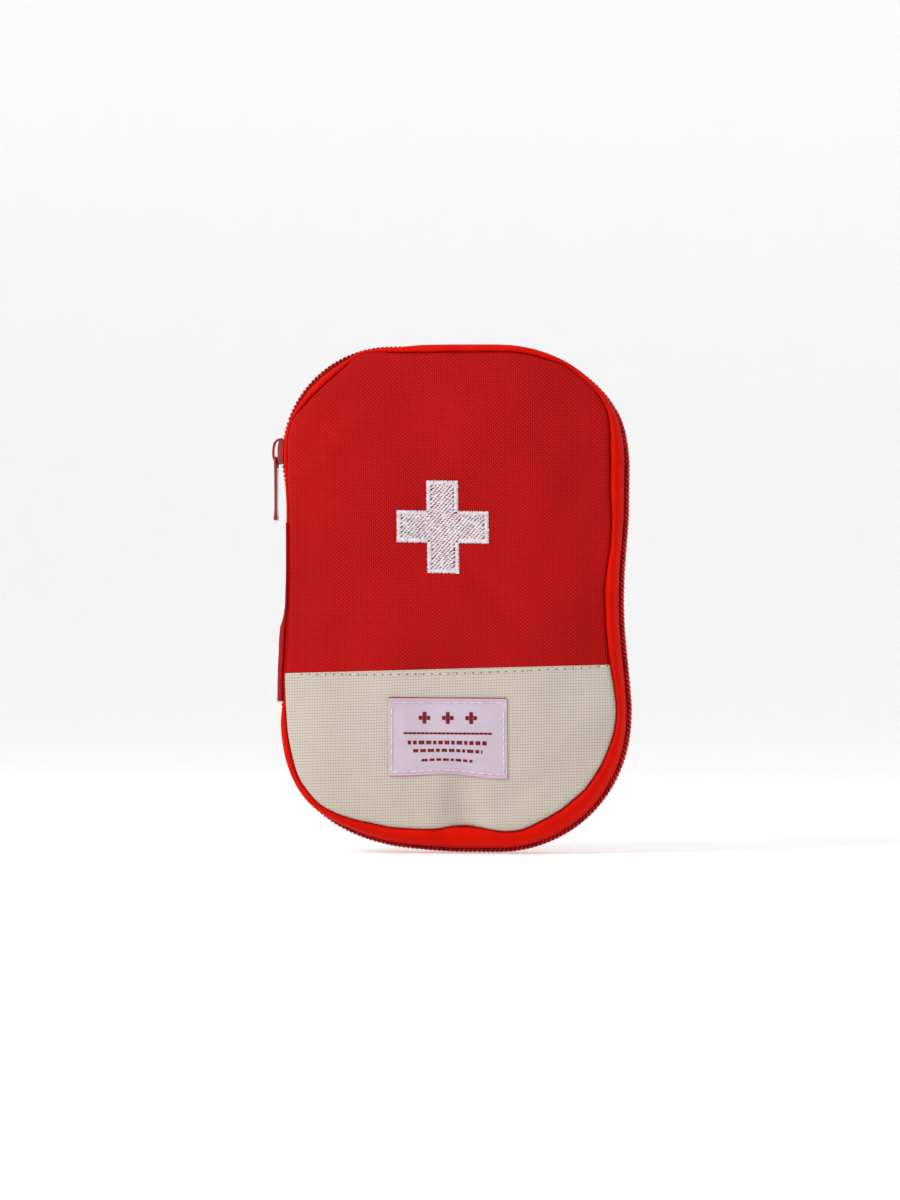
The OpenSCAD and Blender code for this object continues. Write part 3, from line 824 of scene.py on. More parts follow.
def face_grid(edge_x, edge_z, depth_steps=64):
    """A grid of x and z from a closed edge to a line up the middle, where the two sides meet."""
    share = np.linspace(0, 1, 361)
    right, left = share * TOP_MIDDLE, PERIMETER - share * (PERIMETER - TOP_MIDDLE)
    where = np.concatenate([right, left[-2:0:-1]])
    up = np.concatenate([share, share[-2:0:-1]])
    hub_z = HUB_LOW + (HUB_HIGH - HUB_LOW) * smooth(0.06, 0.94, up)
    ex, ez = np.interp(where, ALONG, edge_x), np.interp(where, ALONG, edge_z)
    t = np.concatenate([[0, 0.004, 0.009, 0.015], 0.024 + 0.976 * np.linspace(0, 1, depth_steps) ** 1.25])
    x = ex[:, None] * (1 - t)
    z = ez[:, None] * (1 - t) + hub_z[:, None] * t
    return where, x, z


# ---- cloth simulation: a pad of slightly generous cloth, held at its seam and filled from inside ----
PAD_FLOOR = 8.0  # rise of the pad's flat underside
PAD_VOXEL = 0.004
PAD_FRAMES = 20
PAD_PRESSURE = 4.0
HELD_IN, HELD_RISE = 3.0, 9.5  # the cloth is held this near its seam, and below this rise
RELIEF_LIMIT = 0.9
RELIEF_SHARE = 0.17  # of the simulated wrinkles' height, which the foam behind the cloth holds down


def pad_mesh(face):
    """A closed coarse pad under the face's fabric, remeshed evenly."""
    _, x, z = face_grid(face.edge_x, face.edge_z, 30)
    top = place(x, face.side * face.rise(x, z), z)
    low = place(x, face.side * PAD_FLOOR, z)
    pad = weld(grid("pad_trial", np.concatenate([low[:, ::-1], top], axis=1), closed_rows=True))
    even = pad.modifiers.new("even", "REMESH")
    even.mode = "VOXEL"
    even.voxel_size = PAD_VOXEL
    return bake_modifiers(pad)


def heights(face, mesh):
    """The pad's height over the zip line on an even grid, nan outside it."""
    shape = bmesh.new()
    shape.from_mesh(mesh)
    tree = BVHTree.FromBMesh(shape)
    shape.free()
    x = np.arange(-RELIEF_HALF, RELIEF_HALF + 0.1, RELIEF_STEP)
    z = np.arange(0, CASE_H + 2, RELIEF_STEP)
    found = np.full((len(x), len(z)), np.nan)
    toward = Vector((0, face.side, 0))
    for i, px in enumerate(x):
        for j, pz in enumerate(z):
            hit = tree.ray_cast(Vector(place(px, face.side * 40, pz)), toward)[0]
            if hit:
                found[i, j] = face.side * (ZIP_Y - hit.y / MM)
    return found


def blurred(values, width):
    """A 2D grid smoothed over width samples, ignoring nan."""
    known = np.isfinite(values)
    kernel = bump(np.arange(-3 * width, 3 * width + 1), 0, width)
    total, weight = np.where(known, values, 0.0), known.astype(float)
    for axis in (0, 1):
        total = np.apply_along_axis(np.convolve, axis, total, kernel, "same")
        weight = np.apply_along_axis(np.convolve, axis, weight, kernel, "same")
    return total / np.maximum(weight, 1e-6)


def inflate(face):
    """Fills the pad for PAD_FRAMES frames and keeps the wrinkles it takes as the face's relief."""
    pad = pad_mesh(face)
    before = heights(face, pad.data)
    held = pad.vertex_groups.new(name="held")
    co = np.empty(len(pad.data.vertices) * 3)
    pad.data.vertices.foreach_get("co", co)
    co = co.reshape(-1, 3) / MM
    far, _ = face.near_edge(co[:, 0] - MID_X, co[:, 2])
    fixed = (far < HELD_IN) | (face.side * (ZIP_Y - co[:, 1]) < HELD_RISE)
    held.add(np.flatnonzero(fixed).tolist(), 1.0, "REPLACE")
    cloth = pad.modifiers.new("cloth", "CLOTH")
    cloth.settings.vertex_group_mass = "held"
    cloth.settings.use_pressure = True
    cloth.settings.uniform_pressure_force = PAD_PRESSURE
    cloth.settings.effector_weights.gravity = 0.0
    cloth.settings.shrink_min = -0.05
    cloth.settings.bending_stiffness = 0.05
    cloth.point_cache.frame_end = PAD_FRAMES
    scene = bpy.context.scene
    for frame_number in range(1, PAD_FRAMES + 1):
        scene.frame_set(frame_number)
    bake_modifiers(pad)
    scene.frame_set(1)
    moved = heights(face, pad.data) - before
    bpy.data.objects.remove(pad)
    moved = moved - blurred(moved, 9)
    wrinkles = RELIEF_LIMIT * np.tanh(np.nan_to_num(moved) * RELIEF_SHARE / RELIEF_LIMIT)
    face.relief = blurred(wrinkles, 1)


def cut(obj, line, normal):
    """Keeps the part of a mesh on the side of a plane that its normal points to, in row-frame metres."""
    shape = bmesh.new()
    shape.from_mesh(obj.data)
    everything = shape.verts[:] + shape.edges[:] + shape.faces[:]
    bmesh.ops.bisect_plane(shape, geom=everything, plane_co=line, plane_no=normal, clear_inner=True)
    shape.to_mesh(obj.data)
    shape.free()


def weld(obj, distance=0.02):
    """Joins vertices closer than a distance in mm, and turns all faces the same way."""
    shape = bmesh.new()
    shape.from_mesh(obj.data)
    bmesh.ops.remove_doubles(shape, verts=shape.verts, dist=distance * MM)
    bmesh.ops.dissolve_degenerate(shape, edges=shape.edges, dist=distance * MM / 2)
    bmesh.ops.recalc_face_normals(shape, faces=shape.faces)
    shape.to_mesh(obj.data)
    shape.free()
    return obj


def face_sheet(name, face, material, lift=None):
    """The outer fabric of a face, with its edge rolled under at the seam. lift raises it by x, z."""
    _, x, z = face_grid(face.edge_x, face.edge_z)
    rise = face.rise(x, z)
    if lift is not None:
        rise = rise + lift(x, z)
    return weld(grid(name, place(x, face.side * rise, z), closed_rows=True, material=material))


def outward(face):
    """The direction out of a face, in the row frame."""
    return np.array([0.0, -face.side, 0.0])


SEAM_LAP = 2.2  # how far the red cloth runs on under the beige
PANEL_CLOTH = 0.5  # thickness of the outer cloth


def front_fabrics():
    """Red cloth above the seam, beige cloth lapped over it below."""
    at = place(0, 0, seam_z(0)).ravel()
    up = Vector((-SEAM_SLOPE, 0, 1)).normalized()
    red = face_sheet("front_cloth_red", FRONT, RED)
    cut(red, Vector(at) - up * SEAM_LAP * MM, up)

    def lap(x, z):
        return 0.4 * smooth(0.0, 0.9, seam_z(x) - z) + 0.02

    beige = face_sheet("front_cloth_beige", FRONT, BEIGE, lap)
    cut(beige, Vector(at), -up)
    for obj in (red, beige):
        thicken(obj, PANEL_CLOTH)
    wear(red, "cover", "red_oxford", "front_panel_upper", "front_foam")
    wear(beige, "cover", "beige_rib", "front_panel_lower")


TOPSTITCH_PITCH = 3.0
TOPSTITCH_DROP = 1.7


def seam_topstitch():
    """Short beige stitches under the seam, sunk in their needle holes, with dark dots of painted shade over
    the holes between them.
    """
    x = np.arange(-56, 59, TOPSTITCH_PITCH)
    left, right = x - 1.05, x + 1.05
    z = seam_z(x) - TOPSTITCH_DROP
    start = place(left, FRONT.rise(left, z) + 0.36, z)
    end = place(right, FRONT.rise(right, z) + 0.36, z)
    kept = FRONT.near_edge(x, z)[0] > 2
    up = outward(FRONT)
    obj = threads("seam_topstitch", start[kept], end[kept], up, 0.00024, BEIGE_YARN, 0.00022)
    wear(obj, "cover", "beige_rib")
    # Painted shade: dark dots raised just over the cloth where the needle holes are.
    at = x[kept] + TOPSTITCH_PITCH / 2
    z = seam_z(at) - TOPSTITCH_DROP
    holes = place(at, FRONT.rise(at, z) + 0.5, z)
    across = np.array([0.00026, 0, 0])
    dots = threads("seam_needle_hole_shade", holes - across, holes + across, up, 0.0003, HOLE_SHADE, 0.0, 0.3)
    wear(dots, "cover", "beige_rib")


def dark_hole():
    """The shaded cloth at the bottom of a needle hole."""
    shader = Shader("needle_hole", Roughness=0.9)
    share = shader.ramp(shader.noise(900.0), 0.3, 0.7)
    return shader.use(shader.mix(share, linear(96, 78, 62), linear(128, 108, 88)))


HOLE_SHADE = dark_hole()


# ---- band round each half ----
BAND_WIDTH = 11.0  # of the cloth across the band, on which the knit's rows are laid


def band(name, face, body, *nodes):
    """The padded band between a face's seam and the zip: puffed, with slight gathers."""
    where = np.linspace(0, PERIMETER, 1100, endpoint=False)
    inset = np.interp(where, ALONG, face.inset)[:, None] - 0.12
    fold = np.interp(where, ALONG, face.fold)[:, None]
    soft = np.interp(where, ALONG, ring_noise(31 + face.side, 13))[:, None]
    fine = np.interp(where, ALONG, ring_noise(37 + face.side, 3.2))[:, None]
    t = np.concatenate([[0, 0.05, 0.1, 0.11, 0.12, 0.135, 0.155], np.linspace(0.18, 1, 26)])
    over = np.clip((t - 0.1) / 0.8, 0, 1)
    width = np.clip(inset - fold, 0.6, None)
    b = inset - width * over
    fall = np.cos(math.pi / 2 * over ** 1.6)
    foot, top = 4.4, PANEL_EDGE_RISE - 0.25
    rise = foot + (top - foot) * fall
    gather = smooth(3, 6, width) * bump(over, 0.5, 0.3)
    rise = rise + (0.12 * soft + 0.10 * fine) * gather
    b = b - 0.35 * np.sin(math.pi * over) * smooth(1.5, 6, width)
    rise = rise - 2.1 * np.exp(-((width * over / 0.4) ** 1.4))
    under = smooth(0.1, 0.0, t)
    rise, b = rise - 0.6 * under, b + 0.6 * under
    tuck = smooth(0.9, 1.0, t)
    rise, b = rise - 0.15 * tuck, b + 0.8 * tuck
    points = on_side(where[:, None], b, face.side * rise)
    u = np.append(where, PERIMETER)
    v = t * BAND_WIDTH
    obj = grid(name, points, closed_rows=True, u=u, v=v, flip=face.side < 0, material=BAND)
    thicken(obj, 0.6)
    wear(obj, body, "piping_orange", *nodes)


# ---- zip ----
COIL_PITCH = 1.64
COIL_IN = 1.15
COIL_RISE = 1.3
COIL_REACH = 1.25  # the heads lean just over the zip line, between those of the other half
COIL_STEPS = 12
COIL_WIRE = 0.39
CORD_RADIUS = 0.62
ZIP_GAP = 0.3  # between the end of a coil or tape and what it meets
spine_low, spine_high = box_mm("spine_front")


def left_along(z):
    """Distance along the outline of a height on the left side."""
    left = (OUT_X < -30) & (ALONG > PERIMETER / 2)
    order = np.argsort(OUT_Z[left])
    return np.interp(z, OUT_Z[left][order], ALONG[left][order])


SPINE_TOP, SPINE_FOOT = left_along(spine_high[2]), left_along(spine_low[2])
END_TOP = left_along(box_mm("front_coil_end")[1][2])


def coil(name, side, start, stop, body, *nodes):
    """One half of the zip's coil: nylon wound in flat loops, with heads that reach past the middle, round a
    filler cord coloured dark as painted shade between the loops.
    """
    turns = int((stop - start) / COIL_PITCH)
    angle = np.arange(turns * COIL_STEPS + 1) / COIL_STEPS * 2 * math.pi
    phase = 0 if side > 0 else 0.5
    along = start + (angle / (2 * math.pi) + phase) * COIL_PITCH
    along += 0.30 * COIL_PITCH * np.sin(angle)
    rise = COIL_RISE + COIL_REACH * np.cos(angle)
    inset = COIL_IN + 0.72 * np.sin(angle)
    path = on_side(along, inset, side * rise)
    tangents = unit(np.gradient(path, axis=0))
    middle = on_side(along, COIL_IN, side * COIL_RISE)
    first = path - middle
    first = unit(first - tangents * (first * tangents).sum(axis=1, keepdims=True))
    second = np.cross(tangents, first)
    turn = full_turn(6)
    rings = path[:, None] + COIL_WIRE * MM * (
        first[:, None] * np.cos(turn)[None, :, None] + second[:, None] * np.sin(turn)[None, :, None]
    )
    obj = join_parts(name, [loft(rings)], COIL)
    wear(obj, body, "zip_coil", *nodes)
    # The filler cord, dark as painted shade between the loops.
    cord = on_side(np.arange(start + 0.5, stop - 0.5, 1.0), COIL_IN, side * COIL_RISE)
    wear(join_parts(f"{name}_cord", [tube(cord, CORD_RADIUS * MM)], CORD_SHADE), body, "zip_coil")


def tape(name, side, start, stop, reach, body, *nodes):
    """Zip tape under the coil, with a raised row where the coil is sewn on."""
    where = np.append(np.arange(start, stop, 1.0), stop)
    rise = np.linspace(0.16, reach, 14)
    sewn = bump(rise, 2.9, 0.35)
    inset = 2.05 - 0.22 * sewn[None, :] + 0 * where[:, None]
    points = on_side(where[:, None], inset, side * rise[None, :])
    obj = grid(name, points, u=where, v=rise, flip=side < 0, material=TAPE)
    thicken(obj, 0.45)
    wear(obj, body, "zip_tape", *nodes)


def zip_halves():
    """Both halves of the zip, and the short end of the front one that stays beside the parked slider."""
    foot = SPINE_FOOT + ZIP_GAP
    runs = (
        ("front", 1, foot, END_TOP + PERIMETER - ZIP_GAP, 6.2, "cover", "front_zip_{}"),
        ("front_{}_end", 1, END_TOP, SPINE_TOP - ZIP_GAP, 3.7, "back_half", "front_{}_end"),
        ("back", -1, foot, SPINE_TOP + PERIMETER - ZIP_GAP, 6.2, "back_half", "back_zip_{}"),
    )
    for name, side, start, stop, reach, body, node in runs:
        name = name if "{}" in name else name + "_{}"
        coil(name.format("coil"), side, start, stop, body, node.format("coil"))
        tape(name.format("tape"), side, start, stop, reach, body, node.format("tape"))


# ---- fabric spine over the fold ----
# How far out the spine cloth stands from the outline (negative inset), by distance along it
SPINE_LINE = [(384, -0.2), (415, -0.4), (419, -0.7), (422.5, -1.6), (432, -1.5), (440, -1.3), (450, -1.4)]


def spine():
    """One strip of cloth sewn to both bands across the fold, bulging where the zip tapes end under it."""
    where = np.linspace(SPINE_TOP, SPINE_FOOT, 200)
    v = np.linspace(-7.1, 10.2, 72)
    outer = np.interp(where, *np.array(SPINE_LINE).T)[:, None]
    lumps = np.interp(where, ALONG, ring_noise(51, 8))[:, None]
    edge = np.interp(v, [-7, 0, 7, 9, 10.2], [1.6, 1.6, 1.5, 1.0, 1.1])[None, :]
    fall = smooth(1.5, 7.4, np.abs(v))[None, :] ** 1.3
    lower = smooth(419, 423, where)[:, None]
    inset = outer + (edge - outer) * fall + 0.12 * lumps * (1 - fall) * lower
    inset = inset - 0.35 * bump(np.abs(v)[None, :], 6.3, 0.35) * lower
    inset = inset + 0.18 * bump(np.abs(v)[None, :], 5.4, 0.4)
    points = on_side(where[:, None], inset, v[None, :])
    obj = grid("spine_cloth", points, u=where, v=v, material=TAPE)
    weld(obj)
    thicken(obj, 0.7)
    bake_modifiers(obj)
    tuple(place(-62, -4.5, 90))
    tuple(place(-62, 4.5, 90))
    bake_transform(obj)
    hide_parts("spine_front", "spine_back")


def spine_stitches():
    """Lock stitches down both long edges of the spine."""
    for side, body in ((1, "cover"), (-1, "back_half")):
        where = np.arange(SPINE_TOP + 1.2, SPINE_FOOT - 1.5, 2.4)
        start = on_side(where, 1.42, side * 6.1)
        end = on_side(where + 1.7, 1.42, side * 6.1)
        obj = threads(f"spine_stitches_{body}", start, end, out_of_side(where), 0.0002, RED_YARN, 0.00015)
        wear(obj, body, "zip_tape")


# ---- embroidered cross ----
cross_low, cross_high = box_mm("cross_patch")
CROSS_X = (cross_low[0] + cross_high[0]) / 2 - MID_X
CROSS_Z = (cross_low[2] + cross_high[2]) / 2
CROSS_ARM, CROSS_SPAN = 11.2, 33.0
FILL_TILT = math.radians(24)


def on_cross(p, q):
    """Places on the face from the cross's own directions, whose arms lean a little apart."""
    return CROSS_X + p - 0.009 * q, CROSS_Z + q - 0.02 * p


def on_cloth(p, q, lift):
    """Points lift mm over the cloth, from the cross's own directions."""
    x, z = on_cross(p, q)
    return place(x, FRONT.rise(x, z) + lift, z)


def inside_cross(p, q, margin):
    """Which places are within the cross by more than a margin."""
    arm, reach = CROSS_ARM / 2 - margin, CROSS_SPAN / 2 - margin
    tall = (np.abs(p) < arm) & (np.abs(q) < reach)
    return tall | ((np.abs(q) < arm) & (np.abs(p) < reach))


def cross():
    """Slanted fill stitches with the red cloth showing at their ends, inside a satin stitch border."""
    own = np.random.default_rng(5)
    c, s = math.cos(FILL_TILT), math.sin(FILL_TILT)
    rows = np.arange(-26, 26, 0.42)
    length, gap = 2.1, 0.5
    along = np.arange(-26, 26, length + gap)
    row, first = np.meshgrid(rows, along, indexing="ij")
    first = first + ((np.arange(len(rows)) * 0.37) % 1)[:, None] * (length + gap)
    first = first + own.normal(0, 0.1, first.shape)
    across = row + own.normal(0, 0.025, row.shape)
    last = first + length + own.normal(0, 0.12, first.shape)
    p0, q0 = first * c - across * s, first * s + across * c
    p1, q1 = last * c - across * s, last * s + across * c
    keep = inside_cross((p0 + p1) / 2, (q0 + q1) / 2, 0.7)
    for p, q in ((p0, q0), (p1, q1)):
        keep &= inside_cross(p, q, 0.4)
    fill = threads(
        "cross_fill", on_cloth(p0[keep], q0[keep], 0.12), on_cloth(p1[keep], q1[keep], 0.12), outward(FRONT),
        0.00029, WHITE_YARN, 0.00008,
    )
    wear(fill, "cover", "patch_white", "cross_patch")
    arm, reach = CROSS_ARM / 2, CROSS_SPAN / 2
    corners = [(arm, arm), (reach, arm), (reach, -arm), (arm, -arm), (arm, -reach), (-arm, -reach)]
    corners = corners + [(-p, -q) for p, q in corners]
    starts, ends = [], []
    for (pa, qa), (pb, qb) in zip(corners, corners[1:] + corners[:1]):
        edge = np.array([pb - pa, qb - qa])
        span = np.hypot(*edge)
        edge /= span
        inward = np.array([edge[1], -edge[0]])
        gone = np.arange(0.1, span, 0.3)
        gone = gone + own.normal(0, 0.03, len(gone))
        at = np.array([pa, qa]) + gone[:, None] * edge
        lean = own.normal(0, 0.12, len(at))[:, None] * edge
        starts.append(at - inward * (0.12 + own.uniform(0, 0.22, len(at)))[:, None] + lean)
        ends.append(at + inward * (1.35 + own.uniform(-0.15, 0.2, len(at)))[:, None])
    start, end = np.concatenate(starts), np.concatenate(ends)
    border = threads(
        "cross_border", on_cloth(start[:, 0], start[:, 1], 0.06), on_cloth(end[:, 0], end[:, 1], 0.12),
        outward(FRONT), 0.00024, WHITE_YARN, 0.00034, 0.8,
    )
    wear(border, "cover", "patch_white")


# ---- woven label ----
label_low, label_high = box_mm("woven_label")
LABEL_X = (label_low[0] + label_high[0]) / 2 - MID_X
LABEL_Z = (label_low[2] + label_high[2]) / 2


def on_label(p, q, lift):
    """Places on the label from its middle; its foot is drawn up a little by the dent under it."""
    drawn = 1.2 * bump(p, -1.5, 8.0) - 0.5 * bump(p, 19, 6) + 0.25 * bump(p, -19, 5)
    z = LABEL_Z + q + drawn * smooth(2, -14.25, q) - 0.006 * p
    x = LABEL_X + p
    edge = np.minimum(LABEL_W / 2 - np.abs(p), LABEL_H / 2 - np.abs(q))
    raised = 0.30 + 0.16 * (1 - smooth(0, 1.6, edge)) + 0.10 * np.sin(p / 3.1) * smooth(-9, -14, q)
    return place(x, FRONT.rise(x, z) + 0.42 + raised + lift, z)


def running(name, p, q, stitch, gap, radius, material, lift=0.1, hump=0.00018):
    """A run of stitches along a line of label places."""
    path = on_label(p, q, lift)
    gone = lengths(path)
    first = np.arange(0, gone[-1] - stitch * MM, (stitch + gap) * MM)
    start = np.stack([np.interp(first, gone, path[:, k]) for k in range(3)], axis=1)
    end = np.stack([np.interp(first + stitch * MM, gone, path[:, k]) for k in range(3)], axis=1)
    obj = threads(name, start, end, outward(FRONT), radius * MM, material, hump)
    wear(obj, "cover", "label_woven")


def label():
    """The label's cloth, the stitches round it, and what is woven into it."""
    p = np.linspace(-LABEL_W / 2, LABEL_W / 2, 130)
    q = np.linspace(-LABEL_H / 2, LABEL_H / 2, 90)
    points = on_label(p[:, None], q[None, :], 0.0)
    cloth = grid("label_cloth", points, u=p + LABEL_W / 2, v=q + LABEL_H / 2, material=LABEL)
    thicken(cloth, 0.3)
    wear(cloth, "cover", "label_woven", "woven_label")
    wide, tall = LABEL_W / 2 - 1.2, LABEL_H / 2 - 1.6
    across, up = np.linspace(-wide, wide, 60), np.linspace(-tall, tall, 60)
    running("label_stitch_top", across, tall + 0 * across, 2.8, 0.3, 0.25, WHITE_YARN)
    running("label_stitch_foot", across, -tall - 0.1 + 0 * across, 2.8, 0.3, 0.25, WHITE_YARN)
    running("label_stitch_left", -wide + 0 * up, up, 2.6, 0.3, 0.25, WHITE_YARN)
    running("label_stitch_right", wide + 0 * up, up, 2.6, 0.3, 0.25, WHITE_YARN)
    edge = np.linspace(-LABEL_W / 2, LABEL_W / 2, 80)
    running("label_fold_top", edge, LABEL_H / 2 + 0.05 + 0 * edge, 0.55, 0.02, 0.22, PRINT_YARN, -0.05, 0.0)
    woven_marks()


def woven_marks():
    """Plain woven marks: three small crosses, a rule, and rows of short dashes."""
    starts, ends = [], []

    def block(p0, p1, q0, q1, step=0.24):
        cuts = np.linspace(p0, p1, int((p1 - p0) / 1.6) + 2)
        q = np.arange(q0 + step / 2, q1, step)
        for left, right in zip(cuts[:-1], cuts[1:]):
            starts.append(np.stack([left - 0.1 + 0 * q, q], axis=1))
            ends.append(np.stack([right + 0.1 + 0 * q, q], axis=1))

    for p in (-8.5, 0.0, 8.5):  # the crosses
        block(p - 2.1, p + 2.1, 6.4, 7.8)
        block(p - 0.7, p + 0.7, 7.8, 9.2)
        block(p - 0.7, p + 0.7, 5.0, 6.4)
    block(-16.0, 16.0, 1.2, 1.9)
    own = np.random.default_rng(3)
    for q, half, tall in ((-2.6, 14.5, 1.5), (-5.6, 12.5, 1.1), (-9.2, 9.5, 0.9)):
        p = -half
        while p < half:
            wide = own.uniform(1.0, 2.3)
            block(p, min(p + wide, half), q, q + tall)
            p += wide + 0.75
    start, end = np.concatenate(starts), np.concatenate(ends)
    obj = threads(
        "label_marks", on_label(start[:, 0], start[:, 1], 0.03), on_label(end[:, 0], end[:, 1], 0.03),
        outward(FRONT), 0.00014, PRINT_YARN, 0.00006, 0.6,
    )
    wear(obj, "cover", "label_woven")


# ---- slider and pull tab ----
slider_low, slider_high = box_mm("slider_body")
CORNER = np.array([MID_X - HALF_W + R_TOP_LEFT, SLIDER_CORNER_Z])
slider_x, slider_z = (slider_low[0] + slider_high[0]) / 2, (slider_low[2] + slider_high[2]) / 2
SLIDER_TURN = math.atan2(slider_z - CORNER[1], slider_x - CORNER[0])


def at_slider(t, out, v):
    """Points by the slider: t mm along the zip upwards, out mm beyond the zip line, v to the front."""
    t, out, v = np.broadcast_arrays(t, out, v)
    turn = SLIDER_TURN - t / R_TOP_LEFT
    reach = R_TOP_LEFT + out
    return np.stack([CORNER[0] + reach * np.cos(turn), ZIP_Y - v, CORNER[1] + reach * np.sin(turn)], -1) * MM


def rounded(width, height, corner, count=6):
    """A rounded rectangle about the origin, anticlockwise."""
    points = []
    for sx, sy, start in ((1, 1, 0), (-1, 1, 90), (-1, -1, 180), (1, -1, 270)):
        turn = np.radians(start + np.linspace(0, 90, count))
        cx, cy = sx * (width / 2 - corner), sy * (height / 2 - corner)
        points.append(np.stack([cx + corner * np.cos(turn), cy + corner * np.sin(turn)], axis=1))
    return np.concatenate(points)


def pillow(outline_t, outline_v, low, high, soft):
    """Rings of a plate with rounded edges, from low to high beyond the zip line."""
    rings = []
    for part in np.linspace(-1, 1, 9):
        shrink = soft * (1 - math.sqrt(max(0.0, 1 - part ** 4)))
        scale_t = 1 - shrink / np.abs(outline_t).max()
        scale_v = 1 - shrink / np.abs(outline_v).max()
        out = (low + high) / 2 + part * (high - low) / 2
        rings.append(at_slider(outline_t * scale_t, out, outline_v * scale_v))
    return loft(np.stack(rings))


def slider():
    """The slider: two plates, a rail down each side and the web between them, then bridge and tab."""
    turn = full_turn(40)
    t = 4.9 * power(np.cos(turn), 0.7)
    v = (3.35 + 0.2 * np.sign(np.cos(turn))) * power(np.sin(turn), 0.62)
    parts = [pillow(t, v, 0.25, 1.3, 0.5), pillow(t, v, -3.5, -2.75, 0.4)]
    rail_t, rail_v = 4.6 * power(np.cos(turn), 0.5), 0.32 * power(np.sin(turn), 0.5)
    for side in (-1, 1):
        verts, faces = pillow(rail_t, rail_v, -1.3, 0.7, 0.25)
        shift = np.array([0, -side * 3.3 * MM, 0])
        parts.append((verts + shift, faces))
    web_t, web_v = 3.4 + 1.1 * np.cos(turn), 0.13 * np.sin(turn)
    parts.append(loft(np.stack([at_slider(web_t, out, web_v) for out in np.linspace(-3.0, 0.6, 5)])))
    wear(join_parts("slider_shell", parts, ENAMEL), "zip_slider", "enamel_red", "slider_body")
    crown()
    tab()


def crown():
    """The bridge that the tab hangs from: a flat strap bent into a C."""
    bend = np.linspace(0, math.pi, 36)
    reach = 4.1
    t = reach * power(np.cos(bend), 0.75)
    out = 0.9 + 2.35 * np.sin(bend) ** 0.7
    path = at_slider(t, out, 0.0)
    path = np.concatenate([at_slider(reach, 0.3, 0.0)[None], path, at_slider(-reach, 0.3, 0.0)[None]])
    tangents = unit(np.gradient(path, axis=0))
    wide = np.array([0.0, 1.0, 0.0])
    thin = np.cross(tangents, wide)
    ring = rounded(2.0, 0.85, 0.36) * MM
    sections = path[:, None] + ring[None, :, :1] * wide + ring[None, :, 1:] * thin[:, None]
    wear(join_parts("slider_bridge", [loft(sections)], ENAMEL), "zip_slider", "enamel_red", "slider_crown")


def tab():
    """Flat pull tab: a small loop round the bridge, a tapering bar and a flared foot."""
    low, high = box_mm("pull_tab")
    x, wide = (low[0] + high[0]) / 2, high[1] - low[1]
    down = np.array([0, 0.12, 0.3, 0.7, 4.2, 5.2, 8.0, 14.0, 19.0, 20.6, 21.6, 22.6, 23.2, 23.45, 23.55])
    width = np.array([2.6, 3.3, 3.9, 4.6, 5.3, 5.3, 4.9, 4.4, 4.3, 4.6, 5.0, 5.4, 5.4, 5.0, 4.4])
    thick = np.array([0.5, 0.8, 1.0, 1.1, 1.1, 1.05, 0.95, 0.9, 0.9, 1.0, 1.2, 1.4, 1.35, 1.1, 0.6])
    rail = 1.15
    bar = down >= 4.2
    rings = []
    for z, w, h in zip(down[bar], width[bar], thick[bar]):
        ring = rounded(w, h, min(w, h) * 0.42)
        rings.append(np.stack([x + ring[:, 1], ZIP_Y + ring[:, 0], high[2] - z + 0 * ring[:, 0]], -1) * MM)
    parts = [loft(np.stack(rings))]
    side = wide / 2 - rail / 2
    loop = [(side, 4.6), (side, 2.0), (side * 0.93, 1.0), (side * 0.7, 0.6), (-side * 0.7, 0.6)]
    loop += [(-side * 0.93, 1.0), (-side, 2.0), (-side, 4.6)]
    path = np.array([[x, ZIP_Y + y, high[2] - z] for y, z in loop]) * MM
    parts.append(tube(path, 0.55 * MM, 10))
    wear(join_parts("pull_tab_bar", parts, ENAMEL), "pull_tab", "enamel_red", "pull_tab")


# ---- lining, binding and back ----
def back_cloth():
    """The red cloth of the back face, on which the belt loop is sewn."""
    cloth = face_sheet("back_cloth", BACK, RED)
    thicken(cloth, PANEL_CLOTH)
    wear(cloth, "back_half", "red_oxford", "back_panel", "back_foam")


def lining(face, body, node):
    """Taffeta lining: up under the band, over its corner and across the inside of the face."""
    side = face.side
    corner = np.maximum(face.inset + 1.6, 4.2)
    where, x, z = face_grid(OUT_X - corner * NORMAL_X, OUT_Z - corner * NORMAL_Z, 60)
    far = np.hypot(x - x[:, :1], z - z[:, :1])
    wrinkle = 0.12 * np.sin(x / 6.1 + z / 9.3) * np.sin(z / 7.7 - x / 12.1) * smooth(0, 12, far)
    under = face.rise(x, z)
    under = np.clip(under - 1.25, 7.9, 12.1) + wrinkle - 0.3 * np.exp(-far / 1.5)
    floor = place(x, side * under, z)
    climb = np.linspace(0, 1, 14)
    foot = 3.0
    deep = np.interp(where, ALONG, corner)[:, None]
    inset = foot + (deep - foot) * climb[None, :] ** 0.8
    rise = 4.7 + (under[:, :1] - 4.7) * climb[None, :] ** 0.9
    wall = on_side(where[:, None], inset[:, :-1], side * rise[:, :-1])
    points = np.concatenate([wall, floor], axis=1)
    u = np.append(where, PERIMETER)
    v = lengths(points[0]) / MM
    cloth = grid(f"lining_{body}", points, closed_rows=True, u=u, v=v, flip=side > 0, material=LINING)
    weld(cloth)
    thicken(cloth, 0.3)
    wear(cloth, body, "lining_red", node)
    ring = np.linspace(0, PERIMETER, 700, endpoint=False)
    ripple = 0.06 * np.interp(ring, ALONG, ring_noise(61, 5))
    path = on_side(ring, 3.05 + ripple, side * 4.9)
    binding = closed_tube(f"binding_{body}", path, out_of_side(ring), 0.95, 0.5, BINDING)
    wear(binding, body, "lining_red")


